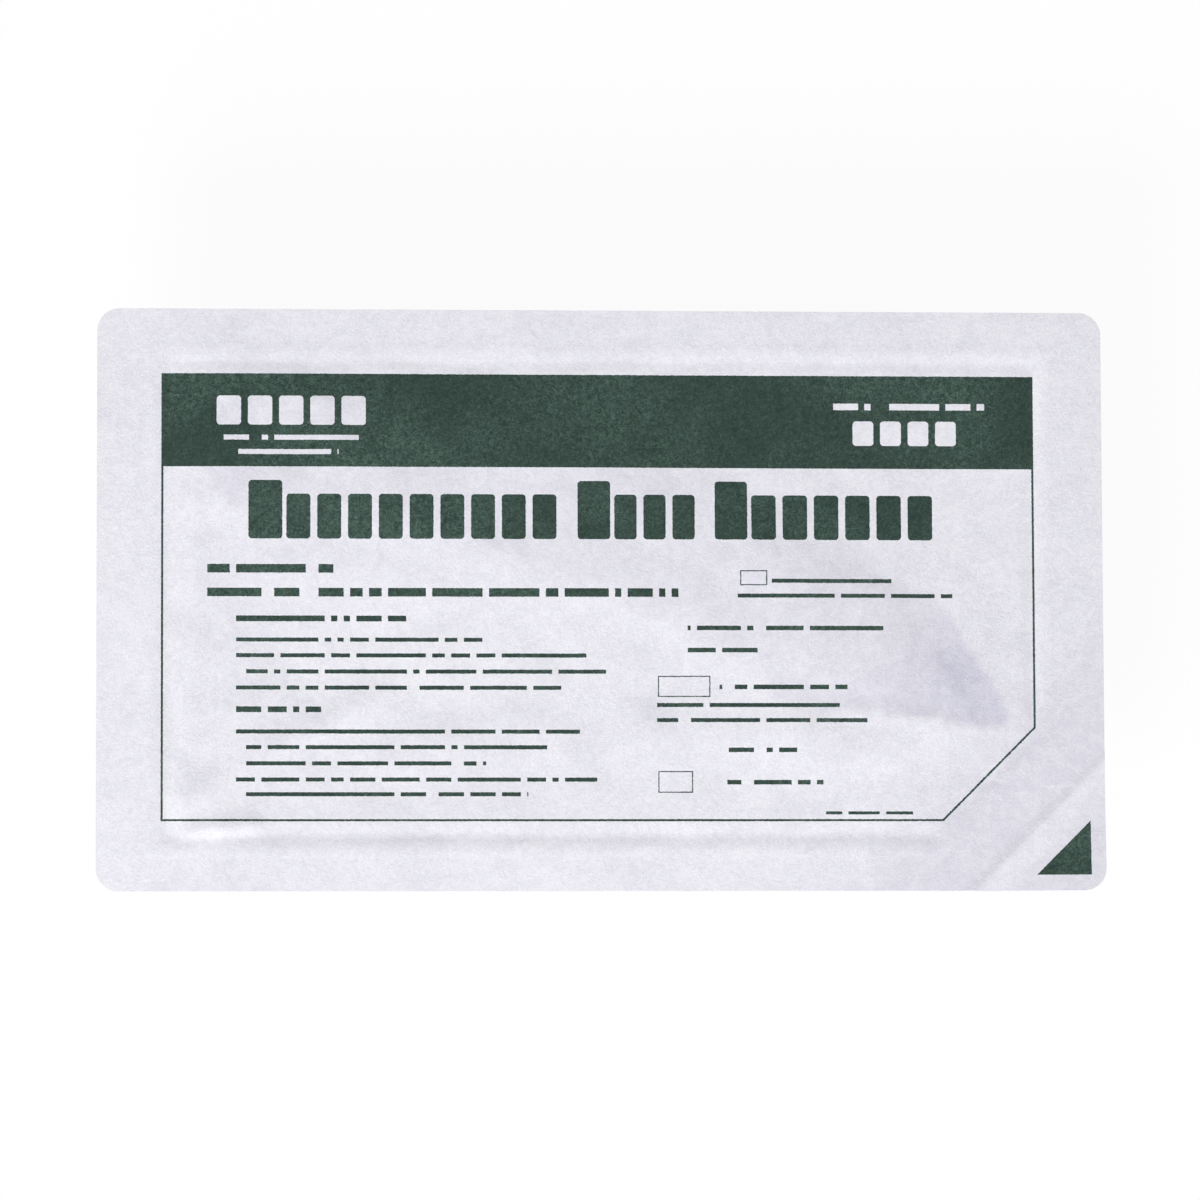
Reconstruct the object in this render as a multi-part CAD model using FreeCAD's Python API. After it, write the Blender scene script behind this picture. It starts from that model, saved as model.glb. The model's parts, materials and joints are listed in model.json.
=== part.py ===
"""Disposable skin stapler for wide staples, lying in its sealed peel pack.

The pack lies on its tray with the printed lid up: X runs along the pack, Y across it and Z up from
the floor of the tray. The stapler lies on its side in the tray, so its side profile is in the XY
plane and its trigger turns about a pin that stands along Z. Sizes are in millimetres.
"""

import FreeCAD
import Part

import math
import os

V = FreeCAD.Vector

# Pack
PACK_CORNER_R = 4.5
END_FLANGE = 12.0
SIDE_FLANGE = 9.0
NOSE_CLEARANCE = 6.2
REAR_CLEARANCE = 6.5
PEAK_CLEARANCE = 3.15
NOSE_TO_SIDE = 24.95
POCKET_CLEARANCE = 2.0
POCKET_CORNER_R = 8.0
REAR_SHELF_DROP = 20.5
REAR_SHELF_GAP = 6.5
TRAY_WALL = 0.6
TRAY_DRAFT = 5.0
CAVITY_CORNER_R = 7.0
CAVITY_CHAMFER = 21.0
SHELF_DEPTH = 7.0
SHELF_MARGIN = 1.6
FLOOR_EDGE_R = 2.4
FLOOR_EDGE_FLAT_COUNT = 2
LID_THICKNESS = 0.25
SEAL_GAP = 0.3
REST_GAP = 0.3
REST_PAD_R = 3.0
REST_PAD_SIDE_COUNT = 8
PEEL_CORNER_LEG = 26.0
PEEL_STEP = 1.6
SEALED_CORNER_LEG = 30.0
FOLD_GAP = 0.3

# Stapler as a whole
HANDLE_LENGTH = 163.3
HANDLE_RISE = 69.4
EXIT_LEAN = 32.0
HALF_THICKNESS = 12.0
SHELL_WALL = 1.6
SHELL_EDGE_R = 3.5
SHELL_EDGE_FLAT_COUNT = 2
FIT_GAP = 0.05
MOVING_GAP = 0.4
BOSS_R = 3.2
BOSS_SIDE_COUNT = 8
LOCATING_PIN_R = 1.4
LOCATING_PIN_SIDE_COUNT = 6
LOCATING_PIN_LENGTH = 4.0
SOCKET_SPARE_DEPTH = 0.4
RIB_THICKNESS = 1.2
RIB_ROOT = 0.2
HEEL_CLOSURE = 7.0
HEEL_LIP = 7.5
HUB_COVER = 0.7
PANEL_MARGIN = 6.0
PANEL_DEPTH = 0.6
PANEL_BEHIND_PIVOT = 27.0
PANEL_CORNER_R = 3.0
GRIP_RIB_COUNT = 7
GRIP_RIB_PITCH = 4.6
GRIP_RIB_WIDTH = 1.8
GRIP_RIB_LENGTH = 11.0

# Handle points forward of its rear end and below its peak, with the radius of each corner
PEAK = (15.5, 0.0, 16.0)
REAR_END = (0.0, 12.6, 10.0)
REAR_FOOT = (5.5, 26.1, 9.0)
HEEL_BACK = (21.5, 30.1, 8.0)
HEEL = (35.5, 31.1, 8.0)
REAR_BOSSES = ((59.5, 15.6), (21.5, 9.1), (12.5, 21.1))
GRIP_START = (24.0, 16.4)
REST_PADS = ((141.5, 49.6), (103.5, 35.6), (53.5, 17.6), (15.5, 11.6))

# Handle point back from the nose and above it, with its radius
TOP_BEND = (93.8, 58.9, 110.0)

# Bosses back from the trigger's pivot and above it
FRONT_BOSSES = ((8.4, 13.0), (42.4, 28.0))

# Underside points back along the magazine and above its floor, with the radius of each corner
OPENING_FOOT = (35.4, 4.6, 6.0)
NOSE_FOOT = (26.5, 0.4, 6.0)

# Staples: round wire, size after closing
WIRE = 0.58
CLOSED_WIDTH = 7.0
CLOSED_HEIGHT = 4.0
STAPLE_COUNT = 35
STAPLE_BEND_R = 0.45
STAPLE_GAP = 0.02
STAPLE_SIDES = 6
STACK_STAPLE_SIDES = 5

# Head and staple former
HEAD_HEIGHT = 28.0
HEAD_CORNER_R = 5.0
NOSE_HALF_WIDTH = 9.2
NOSE_TAPER_LENGTH = 7.0
NOSE_FLAT = 3.0
NOSE_PLATE_THICKNESS = 1.2
NOSE_PLATE_HEIGHT = 26.0
NOSE_FLANGE = 0.7
NOSE_NOTCH_HALF_WIDTH = 4.2
LEG_TIP_RECESS = 0.15
CROWN_CLEARANCE = 0.2
NOTCH_CLEARANCE = 0.1
NOTCH_CORNER_R = 0.5
NOSE_NOTCH_CLEARANCE = 0.45
ARM_TIP_SIDE_GAP = 0.3
FORMER_THICKNESS = 0.56
FORMER_GAP = 0.1
FORMER_SIDE_GAP = 0.15
FORMER_TOP_STOCK = 1.2
GUIDE_DEPTH = 1.8
GUIDE_REACH = 2.8
GUIDE_LOW = 9.0
GUIDE_HIGH = 25.0
FORMER_RELIEF_HALF_WIDTH = 4.5
FORMER_RELIEF_LOW = 10.5
FORMER_RELIEF_BRIDGE = 2.6
FORMER_CORNER_R = 1.0
FORMER_NOTCH_SPARE = 0.3
NOSE_FLANGE_LOW = 7.5
NOSE_FLANGE_SHORT = 1.0
NOSE_FLANGE_GAP = 0.02
NOSE_PLATE_FOOT_R = 0.4
NOSE_PLATE_TOP_R = 0.8

# Magazine
MAGAZINE_RISE = 7.0
MAGAZINE_LENGTH = 46.0
MAGAZINE_OVERRUN = 6.0
MAGAZINE_HANGER = 2.4
HANGER_SHOULDER = 13.6
SLOT_TOP = 8.0
WINDOW_FRONT = 5.0
WINDOW_BACK = 16.0
WINDOW_LOW = 1.2
WINDOW_HIGH = 4.2
WINDOW_END_FLAT = 0.01
MAGAZINE_FLOOR = 0.6
MAGAZINE_HALF_WIDTH = 7.8
MAGAZINE_SIDE_WALL = 0.65
MAGAZINE_FRONT_GAP = 0.15
COVER_CLEARANCE = 0.1
TRACK_SIDE_GAP = 0.15
TRACK_REST_INSET = 0.3
TUNNEL_GAP = 0.2
TUNNEL_CORNER_R = 0.6
HUMP_GAP = 0.15
COVER_THICKNESS = 0.7
COVER_PLAIN_FRONT = 7.0
TRACK_THICKNESS = 0.9
TONGUE_ROOT = 6.0
RAIL_OVERRUN = 4.0
END_WALL = 2.0
LEAF_LENGTH = 18.0
LEAF_HALF = 1.5
LEAF_THICKNESS = 0.25
LEAF_BEND = 3.2
LEAF_LIFT = 0.25
LEAF_ROOM = 0.8
LEAF_SIDE_GAP = 0.1
FOLLOWER_LENGTH = 5.0
FOLLOWER_SADDLE = 14.0
FOLLOWER_HUMP = 2.2
FOLLOWER_TOP_GAP = 0.06
FOLLOWER_FLOOR_GAP = 0.2
FOLLOWER_SPRING_OD = 2.3
FOLLOWER_SPRING_WIRE = 0.26
FOLLOWER_SPRING_TURNS = 14
FOLLOWER_COIL_STEP_COUNT = 8
FOLLOWER_COIL_SIDE_COUNT = 4

# Trigger and its drive
PIVOT_HEIGHT = 21.0
DRIVE_ARM_LENGTH = 10.4
SQUEEZE_ANGLE = 22.0
PIVOT_PIN_R = 1.5
PIVOT_RUNNING_GAP = 0.04
PIN_FIT = 0.02
TRIGGER_FRONT_GAP = 2.5
HUB_R = 4.2
ARM_HUB_R = 3.0
ARM_HALF_WIDTH = 1.6
ARM_TIP_R = 1.7
ARM_TIP_TRIM = 0.3
ARM_SHOULDER = 0.4
ARM_TIP_SHOULDER = 0.35
ARM_BAR_SHOULDER = 0.6
TRIGGER_HALF_WIDTH = 9.9
TRIGGER_WALL = 1.6
TRIGGER_WEB = 2.0
CROSS_BAR_R = 1.9
CLOSED_TURN_RISE = 1.04
RETURN_SPRING_OD = 7.0
RETURN_SPRING_WIRE = 0.8
RETURN_SPRING_TURNS = 7
RETURN_SPRING_LENGTH = 26.0
RETURN_COIL_STEP_COUNT = 10
RETURN_COIL_SIDE_COUNT = 5
SPRING_SEAT_THICKNESS = 2.0
SPRING_SEAT_MARGIN = 1.0
SPRING_HANGER = 34.0
SPRING_HANGER_TO_WALL = 10.0
SPRING_CUP_DEPTH = 6.0
SPRING_CUP_WALL = 0.6
SPIGOT_R = 2.2
SPIGOT_LENGTH = 3.0
SPRING_FOOT_BACK = 33.3
SPRING_FOOT_DROP = 16.95
TRIGGER_PAST_HEEL = 7.3
TRIGGER_DEPTH = 17.8
TRIGGER_TOP_DROP = 6.3
TRIGGER_TIP_LENGTH = 7.5
TRIGGER_TIP_DROP = 11.2
TRIGGER_TIP_RAKE = 3.5
TRIGGER_HEEL_R = 12.0
TRIGGER_TIP_R = 5.0
TRIGGER_MOUTH = 9.0
TRIGGER_MOUTH_R = 3.0
TRIGGER_HUB_DIP = 0.4
BAR_HOUSING_RAMP = 2.4
BAR_HOUSING_RAMP_R = 8.0
BAR_HOUSING_CROWN = 0.8
BAR_HOUSING_CROWN_R = 2.5
TRIGGER_NECK_BACK = 2.0
TRIGGER_NECK_DROP = 0.4
TRIGGER_NECK_R = 1.5
TRIGGER_NOSE_FRONT = 3.4
TRIGGER_NOSE_DROP = 1.6
TRIGGER_RIB_COUNT = 3
TRIGGER_RIB_PITCH = 18.0
TRIGGER_RIB_HEIGHT = 10.0
FINGER_RIB_PITCH = 4.5
FINGER_RIB_WIDTH = 1.6
FINGER_RIB_HEIGHT = 0.6
FINGER_RIB_START = 12.0
FINGER_RIB_END_MARGIN = 12.0
FINGER_RIB_SIDE_MARGIN = 1.4
PIN_HALF_LENGTH = 11.4
PIN_CHAMFER = 0.3

# Trigger's finger side back from its pivot and below it, with the radius of each corner
FINGER_SIDE = ((4.8, 14.1, 3.0), (16.3, 19.0, 14.0), (23.3, 22.1, 6.0), (30.8, 19.1, 10.0))

# Cutters run this far past what they cut
PAST = 40.0

# Directions and places worked out from the sizes
LEAN = math.radians(EXIT_LEAN)
RISE = math.radians(MAGAZINE_RISE)
DRAFT = math.tan(math.radians(TRAY_DRAFT))
PACK_LENGTH = HANDLE_LENGTH + NOSE_CLEARANCE + REAR_CLEARANCE + 2 * END_FLANGE
PACK_WIDTH = HANDLE_RISE + PEAK_CLEARANCE + NOSE_TO_SIDE + 2 * SIDE_FLANGE
NOSE = V(PACK_LENGTH / 2 - END_FLANGE - NOSE_CLEARANCE,
         SIDE_FLANGE + NOSE_TO_SIDE - PACK_WIDTH / 2, 0)
HEAD_UP = V(-math.sin(LEAN), math.cos(LEAN), 0)
HEAD_FRONT = V(math.cos(LEAN), math.sin(LEAN), 0)
BACKWARD = V(-math.cos(RISE), math.sin(RISE), 0)
MAGAZINE_UP = V(math.sin(RISE), math.cos(RISE), 0)
UPRIGHT = V(0, 0, 1)
MID_Z = TRAY_WALL + REST_GAP + HALF_THICKNESS
FLANGE_Z = MID_Z + HALF_THICKNESS
SHELF_Z = FLANGE_Z - SHELF_DEPTH
LID_Z = FLANGE_Z + SEAL_GAP

# Open staple: the crown's two outer stretches fold down beside the anvil
STAPLE_SIDE = CLOSED_HEIGHT - WIRE
CROWN = CLOSED_WIDTH - WIRE + 2 * STAPLE_SIDE
LEG = (CLOSED_WIDTH - WIRE) / 2
ANVIL_HALF_WIDTH = CLOSED_WIDTH / 2 - WIRE
STAPLE_B = -(NOSE_PLATE_THICKNESS + FORMER_GAP + FORMER_THICKNESS / 2)
CROWN_A = LEG_TIP_RECESS + LEG
FORMER_HALF_WIDTH = (CROWN + WIRE) / 2
STAPLE_PITCH = (WIRE + STAPLE_GAP) / HEAD_FRONT.dot(-BACKWARD)

PIVOT_B = STAPLE_B - DRIVE_ARM_LENGTH
HALF_SQUEEZE = math.radians(SQUEEZE_ANGLE) / 2
FORMER_STROKE = 2 * DRIVE_ARM_LENGTH * math.sin(HALF_SQUEEZE)


def head(a, b, z=0.0):
    """Point a up the front face from the nose tip, b in front of that face, z from mid-thickness."""
    return NOSE + HEAD_UP * a + HEAD_FRONT * b + V(0, 0, MID_Z + z)


MAGAZINE_FOOT = head(0, -NOSE_FLAT)


def magazine(s, t, z=0.0):
    """Point s back along the magazine from the nose, t above its underside."""
    return MAGAZINE_FOOT + BACKWARD * s + MAGAZINE_UP * t + V(0, 0, z)


def handle(point):
    """A point given forward of the handle's rear end and below its peak, in the pack's x and y."""
    return (NOSE.x - HANDLE_LENGTH + point[0], NOSE.y + HANDLE_RISE - point[1]) + point[2:]


def flat(x, y, z=0.0):
    """Point of the side profile in the pack's own axes, z from mid-thickness."""
    return V(x, y, MID_Z + z)


PIVOT = head(PIVOT_HEIGHT, PIVOT_B)
CROWN_CENTRE = head(CROWN_A, STAPLE_B) - MAGAZINE_FOOT
CROWN_S = CROWN_CENTRE.dot(BACKWARD)
CROWN_T = CROWN_CENTRE.dot(MAGAZINE_UP)
TRACK_TOP = CROWN_T - WIRE / 2 - STAPLE_GAP
COVER_UNDER = CROWN_T + WIRE / 2 + COVER_CLEARANCE
TRACK_HALF_WIDTH = (CROWN - WIRE) / 2 - TRACK_SIDE_GAP
STRIP_END_S = CROWN_S + (STAPLE_COUNT - 0.5) * STAPLE_PITCH
TUNNEL_HALF_WIDTH = FOLLOWER_SPRING_OD / 2 + TUNNEL_GAP
TUNNEL_TOP = COVER_UNDER + FOLLOWER_SPRING_OD + TUNNEL_GAP
INNER_HALF = HALF_THICKNESS - SHELL_WALL
PIN_FLAT_SHARE = math.cos(math.pi / LOCATING_PIN_SIDE_COUNT)
CHEEK_INNER = TRIGGER_HALF_WIDTH - TRIGGER_WALL
BETWEEN_CHEEKS = CHEEK_INNER - MOVING_GAP
FORMER_FOOT = CROWN_A + WIRE / 2 + CROWN_CLEARANCE
ARM_TIP_RISE = DRIVE_ARM_LENGTH * math.sin(HALF_SQUEEZE)
FORMER_WINDOW_A = PIVOT_HEIGHT + ARM_TIP_RISE
FORMER_TOP = FORMER_WINDOW_A + ARM_TIP_R + FORMER_SIDE_GAP + FORMER_TOP_STOCK
FORMER_BACK = STAPLE_B - FORMER_THICKNESS / 2
MAGAZINE_FRONT = FORMER_BACK - MAGAZINE_FRONT_GAP
NOSE_PLATE_HALF = FORMER_HALF_WIDTH + FORMER_SIDE_GAP + NOSE_FLANGE
FOLLOWER_BACK = STRIP_END_S + FOLLOWER_LENGTH
TRIGGER_REACH = PIVOT.x - handle(HEEL)[0] + TRIGGER_PAST_HEEL
BOSSES = [(PIVOT.x - back, PIVOT.y + up) for back, up in FRONT_BOSSES]
BOSSES += [handle(boss) for boss in REAR_BOSSES]
PIVOT_S = (PIVOT - MAGAZINE_FOOT).dot(BACKWARD)
ARM_TAIL = MAGAZINE_LENGTH - MAGAZINE_HANGER - PIVOT_S - ARM_HUB_R - 3 * MOVING_GAP
CROSS_BAR = PIVOT + BACKWARD * ARM_TAIL


def squeezed(point, share=1.0):
    """Where a point of the trigger stands when a share of the squeeze is done."""
    angle = -math.radians(SQUEEZE_ANGLE) * share
    arm = point - PIVOT
    return PIVOT + V(arm.x * math.cos(angle) - arm.y * math.sin(angle),
                     arm.x * math.sin(angle) + arm.y * math.cos(angle), 0)


# The return spring stands along the chord that its foot moves on
SPRING_FOOT = PIVOT + V(-SPRING_FOOT_BACK, -SPRING_FOOT_DROP, 0)
SPRING_AXIS = (squeezed(SPRING_FOOT) - SPRING_FOOT).normalize()
SPRING_ACROSS = SPRING_AXIS.cross(UPRIGHT)
SPRING_TOP = SPRING_FOOT + SPRING_AXIS * RETURN_SPRING_LENGTH


def outline(corners):
    """Closed wire through (point, radius) corners, each rounded by a tangent arc."""
    joints = []
    for index, (corner, radius) in enumerate(corners):
        to_last = (corners[index - 1][0] - corner).normalize()
        to_next = (corners[(index + 1) % len(corners)][0] - corner).normalize()
        if radius <= 0:
            joints.append((corner, None, corner))
            continue
        half = to_last.getAngle(to_next) / 2
        reach = radius / math.tan(half)
        centre = corner + (to_last + to_next).normalize() * (radius / math.sin(half))
        middle = centre + (corner - centre).normalize() * radius
        joints.append((corner + to_last * reach, middle, corner + to_next * reach))
    edges = []
    for index, (start, middle, end) in enumerate(joints):
        if middle is not None:
            edges.append(Part.Arc(start, middle, end).toShape())
        following = joints[(index + 1) % len(joints)][0]
        if (following - end).Length > 1e-6:
            edges.append(Part.LineSegment(end, following).toShape())
    return Part.Wire(edges)


def prism(corners, travel):
    """Solid swept by a flat outline of (point, radius) corners along a vector."""
    return Part.Face(outline(corners)).extrude(travel)


def slab(corners, low, high):
    """Solid between two heights off mid-thickness, from an outline of (x, y, radius) corners."""
    return prism([(flat(x, y, low), r) for x, y, r in corners], V(0, 0, high - low))


def head_block(a0, a1, b0, b1, z0, z1):
    """Box square to the head."""
    corners = [(head(a, b, z0), 0) for a, b in ((a0, b0), (a1, b0), (a1, b1), (a0, b1))]
    return prism(corners, V(0, 0, z1 - z0))


def head_plate(corners, b0, b1):
    """Plate parallel to the front face, from (a, z, radius) corners."""
    return prism([(head(a, b0, z), r) for a, z, r in corners], HEAD_FRONT * (b1 - b0))


def magazine_block(s0, s1, t0, t1, z0, z1):
    """Box square to the magazine."""
    places = ((s0, t0), (s1, t0), (s1, t1), (s0, t1))
    corners = [(magazine(s, t, z0), 0) for s, t in places]
    return prism(corners, V(0, 0, z1 - z0))


def magazine_bar(corners, s0, s1):
    """Bar along the magazine, from (z, t, radius) corners of its section."""
    return prism([(magazine(s0, t, z), r) for z, t, r in corners], BACKWARD * (s1 - s0))


def upright_cylinder(centre, radius, low, high):
    """Cylinder along Z about a point of the profile."""
    base = V(centre.x, centre.y, MID_Z + low)
    return Part.makeCylinder(radius, high - low, base, UPRIGHT)


def upright_prism(centre, radius, sides, low, high):
    """Regular prism along Z about a point of the profile."""
    corners = []
    for k in range(sides):
        turn = 2 * math.pi * (k + 0.5) / sides
        corners.append((centre.x + radius * math.cos(turn), centre.y + radius * math.sin(turn), 0))
    return slab(corners, low, high)


def both_sides(solid):
    """A solid and its mirror image across mid-thickness."""
    return [solid, solid.mirror(V(0, 0, MID_Z), UPRIGHT)]


def joined(solids):
    """Solids fused into one, with coplanar faces merged."""
    whole = solids[0]
    for other in solids[1:]:
        whole = whole.fuse(other)
    return whole.removeSplitter()


def inset(corners, distance):
    """(x, y, radius) corners moved inward by a distance, or outward where it is negative."""
    count = len(corners)
    area = sum(corners[i - 1][0] * corners[i][1] - corners[i][0] * corners[i - 1][1]
               for i in range(count))
    side = 1 if area > 0 else -1
    moved = []
    for i in range(count):
        x, y, radius = corners[i]
        before = V(x - corners[i - 1][0], y - corners[i - 1][1], 0).normalize()
        after = V(corners[(i + 1) % count][0] - x, corners[(i + 1) % count][1] - y, 0).normalize()
        turn = side * (before.x * after.y - before.y * after.x)
        inward = V(-before.y - after.y, before.x + after.x, 0) * side
        shift = inward * (distance / (1 + before.dot(after)))
        new_radius = radius - distance if turn > 0 else radius + distance
        moved.append((x + shift.x, y + shift.y, max(new_radius, 0.0) if radius > 0 else 0.0))
    return moved


def pack_outline():
    """Outer edge of the pack, as (x, y, radius) corners."""
    x = PACK_LENGTH / 2
    y = PACK_WIDTH / 2
    return [(-x, -y, PACK_CORNER_R), (x, -y, PACK_CORNER_R), (x, y, PACK_CORNER_R),
            (-x, y, PACK_CORNER_R)]


def cavity_outline():
    """Mouth of the tray: a rectangle with the corner beside the peel corner cut off."""
    x = PACK_LENGTH / 2 - END_FLANGE
    y = PACK_WIDTH / 2 - SIDE_FLANGE
    return [(-x, -y, CAVITY_CORNER_R), (x - CAVITY_CHAMFER, -y, CAVITY_CORNER_R),
            (x, -y + CAVITY_CHAMFER, CAVITY_CORNER_R), (x, y, CAVITY_CORNER_R),
            (-x, y, CAVITY_CORNER_R)]


def ring(corners, distance, z):
    """Wire of (x, y, radius) corners moved inward by a distance, at a height."""
    return outline([(V(x, y, z), r) for x, y, r in inset(corners, distance)])


def stacked(corners, levels):
    """Solid through (height, inset) levels of one outline."""
    layers = []
    for (z0, inset0), (z1, inset1) in zip(levels, levels[1:]):
        wires = [ring(corners, inset0, z0), ring(corners, inset1, z1)]
        layers.append(Part.makeLoft(wires, True, True))
    return joined(layers)


def rounded_levels(z, distance, radius, flats, direction):
    """(height, inset) levels that round a rim off in flats, from its side to its face."""
    levels = []
    for step in range(flats + 1):
        angle = math.pi / 2 * step / flats
        levels.append((z + direction * radius * math.sin(angle),
                       distance + radius * (1 - math.cos(angle))))
    return levels


def rounded_slab(corners, half, radius, flats):
    """Slab across mid-thickness whose rims are rounded off in a few narrow flats."""
    upper = rounded_levels(MID_Z + half - radius, 0, radius, flats, 1)
    lower = rounded_levels(MID_Z - half + radius, 0, radius, flats, -1)
    return stacked(corners, lower[::-1] + upper)


def pocket_outline():
    """Deep pocket at shelf level: the mouth with shelves above the head and behind the trigger."""
    corners = inset(cavity_outline(), SHELF_DEPTH * DRAFT + SHELF_MARGIN)
    left, bottom = corners[0][0], corners[0][1]
    right, top = corners[3][0], corners[3][1]
    back = flat(*top_bend()[:2])
    front = head(HEAD_HEIGHT, 0)
    along = (back - front).normalize()
    offset = front + V(along.y, -along.x, 0) * (POCKET_CLEARANCE + (SHELF_Z - TRAY_WALL) * DRAFT)
    shelf_low = offset.y + (right - offset.x) * along.y / along.x
    shelf_left = offset.x + (top - offset.y) * along.x / along.y
    r = POCKET_CORNER_R
    rear_low = handle(HEEL)[1] - REAR_SHELF_DROP
    rear_end = PIVOT.x - TRIGGER_REACH - REAR_SHELF_GAP
    return [(left, rear_low, r), (rear_end, bottom, r), (corners[1][0], bottom, r),
            (right, corners[2][1], r), (right, shelf_low, r), (shelf_left, top, r), (left, top, r)]


def drafted(corners, low, high):
    """Solid of an outline at its upper height, narrowing downward by the tray's draft."""
    return stacked(corners, [(low, (high - low) * DRAFT), (high, 0)])


def pocket(corners, low, high, radius):
    """Drafted solid whose lowest edge is rounded off in flats."""
    turn = low + radius
    foot = rounded_levels(turn, (high - turn) * DRAFT, radius, FLOOR_EDGE_FLAT_COUNT, -1)
    return stacked(corners, foot[::-1] + [(high, 0)])


def beyond_fold(leg, side, low, high):
    """Block over a corner of the pack cut off by a diagonal: lower right (1) or upper left (-1)."""
    x = side * PACK_LENGTH / 2
    y = -side * PACK_WIDTH / 2
    far = 8 * side
    corners = [(V(x + far, y + side * leg + far, low), 0), (V(x - side * leg - far, y - far, low), 0),
               (V(x + far, y - far, low), 0)]
    return prism(corners, V(0, 0, high - low))


def pack_sheet(low, high):
    """Sheet of the pack's full outline between two heights."""
    return prism([(V(x, y, low), r) for x, y, r in pack_outline()], V(0, 0, high - low))


def build_blister_tray():
    """Formed tray: flange, stepped peel corner, mouth with its shelves, and pocket."""
    mouth = cavity_outline()
    deep = pocket_outline()
    under = FLANGE_Z - TRAY_WALL
    corner = beyond_fold(PEEL_CORNER_LEG, 1, 0, FLANGE_Z)
    deeper = beyond_fold(PEEL_CORNER_LEG - 2 * TRAY_WALL, 1, 0, FLANGE_Z)
    flange = pack_sheet(under, FLANGE_Z).cut(corner)
    step = pack_sheet(under - PEEL_STEP, FLANGE_Z).common(corner.cut(deeper))
    landing = pack_sheet(under - PEEL_STEP, FLANGE_Z - PEEL_STEP).common(corner)
    outer_mouth = drafted(inset(mouth, -TRAY_WALL), SHELF_Z - TRAY_WALL, FLANGE_Z)
    outer_pocket = pocket(inset(deep, -TRAY_WALL), 0, SHELF_Z, FLOOR_EDGE_R + TRAY_WALL)
    inner_mouth = drafted(mouth, SHELF_Z, FLANGE_Z)
    inner_pocket = pocket(deep, TRAY_WALL, SHELF_Z, FLOOR_EDGE_R)
    tray = joined([flange, step, landing, outer_mouth, outer_pocket])
    tray = tray.cut(inner_mouth).cut(inner_pocket)
    for pad in REST_PADS:
        x, y = handle(pad)
        floor = TRAY_WALL - MID_Z
        tray = tray.fuse(upright_prism(V(x, y, 0), REST_PAD_R, REST_PAD_SIDE_COUNT, floor,
                                       floor + REST_GAP))
    return tray.removeSplitter()


def build_lid():
    """Lid cut along its two folds into panel, peel corner and sealed corner."""
    sheet = pack_sheet(LID_Z, LID_Z + LID_THICKNESS)
    half_gap = FOLD_GAP / math.sqrt(2)
    low, high = LID_Z - 1, LID_Z + 1
    panel = sheet.cut(beyond_fold(PEEL_CORNER_LEG + half_gap, 1, low, high))
    panel = panel.cut(beyond_fold(SEALED_CORNER_LEG + half_gap, -1, low, high))
    peel_corner = sheet.common(beyond_fold(PEEL_CORNER_LEG - half_gap, 1, low, high))
    sealed_corner = sheet.common(beyond_fold(SEALED_CORNER_LEG - half_gap, -1, low, high))
    return panel, peel_corner, sealed_corner


def top_bend():
    """Corner of the handle's upper edge, in the pack's x and y, with its radius."""
    return (NOSE.x - TOP_BEND[0], NOSE.y + TOP_BEND[1], TOP_BEND[2])


def underside(point):
    """Corner of the shells' lower edge, given along the magazine, in the pack's x and y."""
    place = magazine(point[0], point[1])
    return (place.x, place.y, point[2])


def shell_profile():
    """Side outline of the closed shells, nose first, as (x, y, radius) corners."""
    front_top = head(HEAD_HEIGHT, 0)
    fall = NOSE_FLAT * HEAD_FRONT.dot(MAGAZINE_UP) / HEAD_UP.dot(MAGAZINE_UP)
    front_foot = head(-fall, 0)
    return [(front_foot.x, front_foot.y, 0), (front_top.x, front_top.y, HEAD_CORNER_R),
            top_bend(), handle(PEAK), handle(REAR_END), handle(REAR_FOOT), handle(HEEL_BACK),
            handle(HEEL), underside(OPENING_FOOT), underside(NOSE_FOOT)]


def nose_wedges(half):
    """Pair of wedges that narrow the nose, outside a given half thickness."""
    drop = HALF_THICKNESS - NOSE_HALF_WIDTH
    slope = drop / NOSE_TAPER_LENGTH
    section = [(-NOSE_TAPER_LENGTH, half), (PAST, half - drop - slope * PAST),
               (PAST, half + PAST), (-NOSE_TAPER_LENGTH, half + PAST)]
    wedge = prism([(head(-PAST, b, z), 0) for b, z in section], HEAD_UP * (HEAD_HEIGHT + 2 * PAST))
    return both_sides(wedge)


def trigger_opening():
    """Open side of the shells that the trigger closes, from the heel to in front of its hub."""
    back, lintel = handle(HEEL)[:2]
    back -= HEEL_CLOSURE
    front = PIVOT.x + HUB_R + TRIGGER_FRONT_GAP
    below = PIVOT.y - PAST
    return slab([(back, lintel + HEEL_LIP, 0), (back, below, 0), (front, below, 0),
                 (front, PIVOT.y - HUB_R + HUB_COVER, 0)], -INNER_HALF, INNER_HALF)


def meeting(start, along, first, second):
    """Point where a line from a start along a direction meets the line through two places."""
    across = V(first.y - second.y, second.x - first.x, 0)
    return start + along * ((first - start).dot(across) / along.dot(across))


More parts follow.
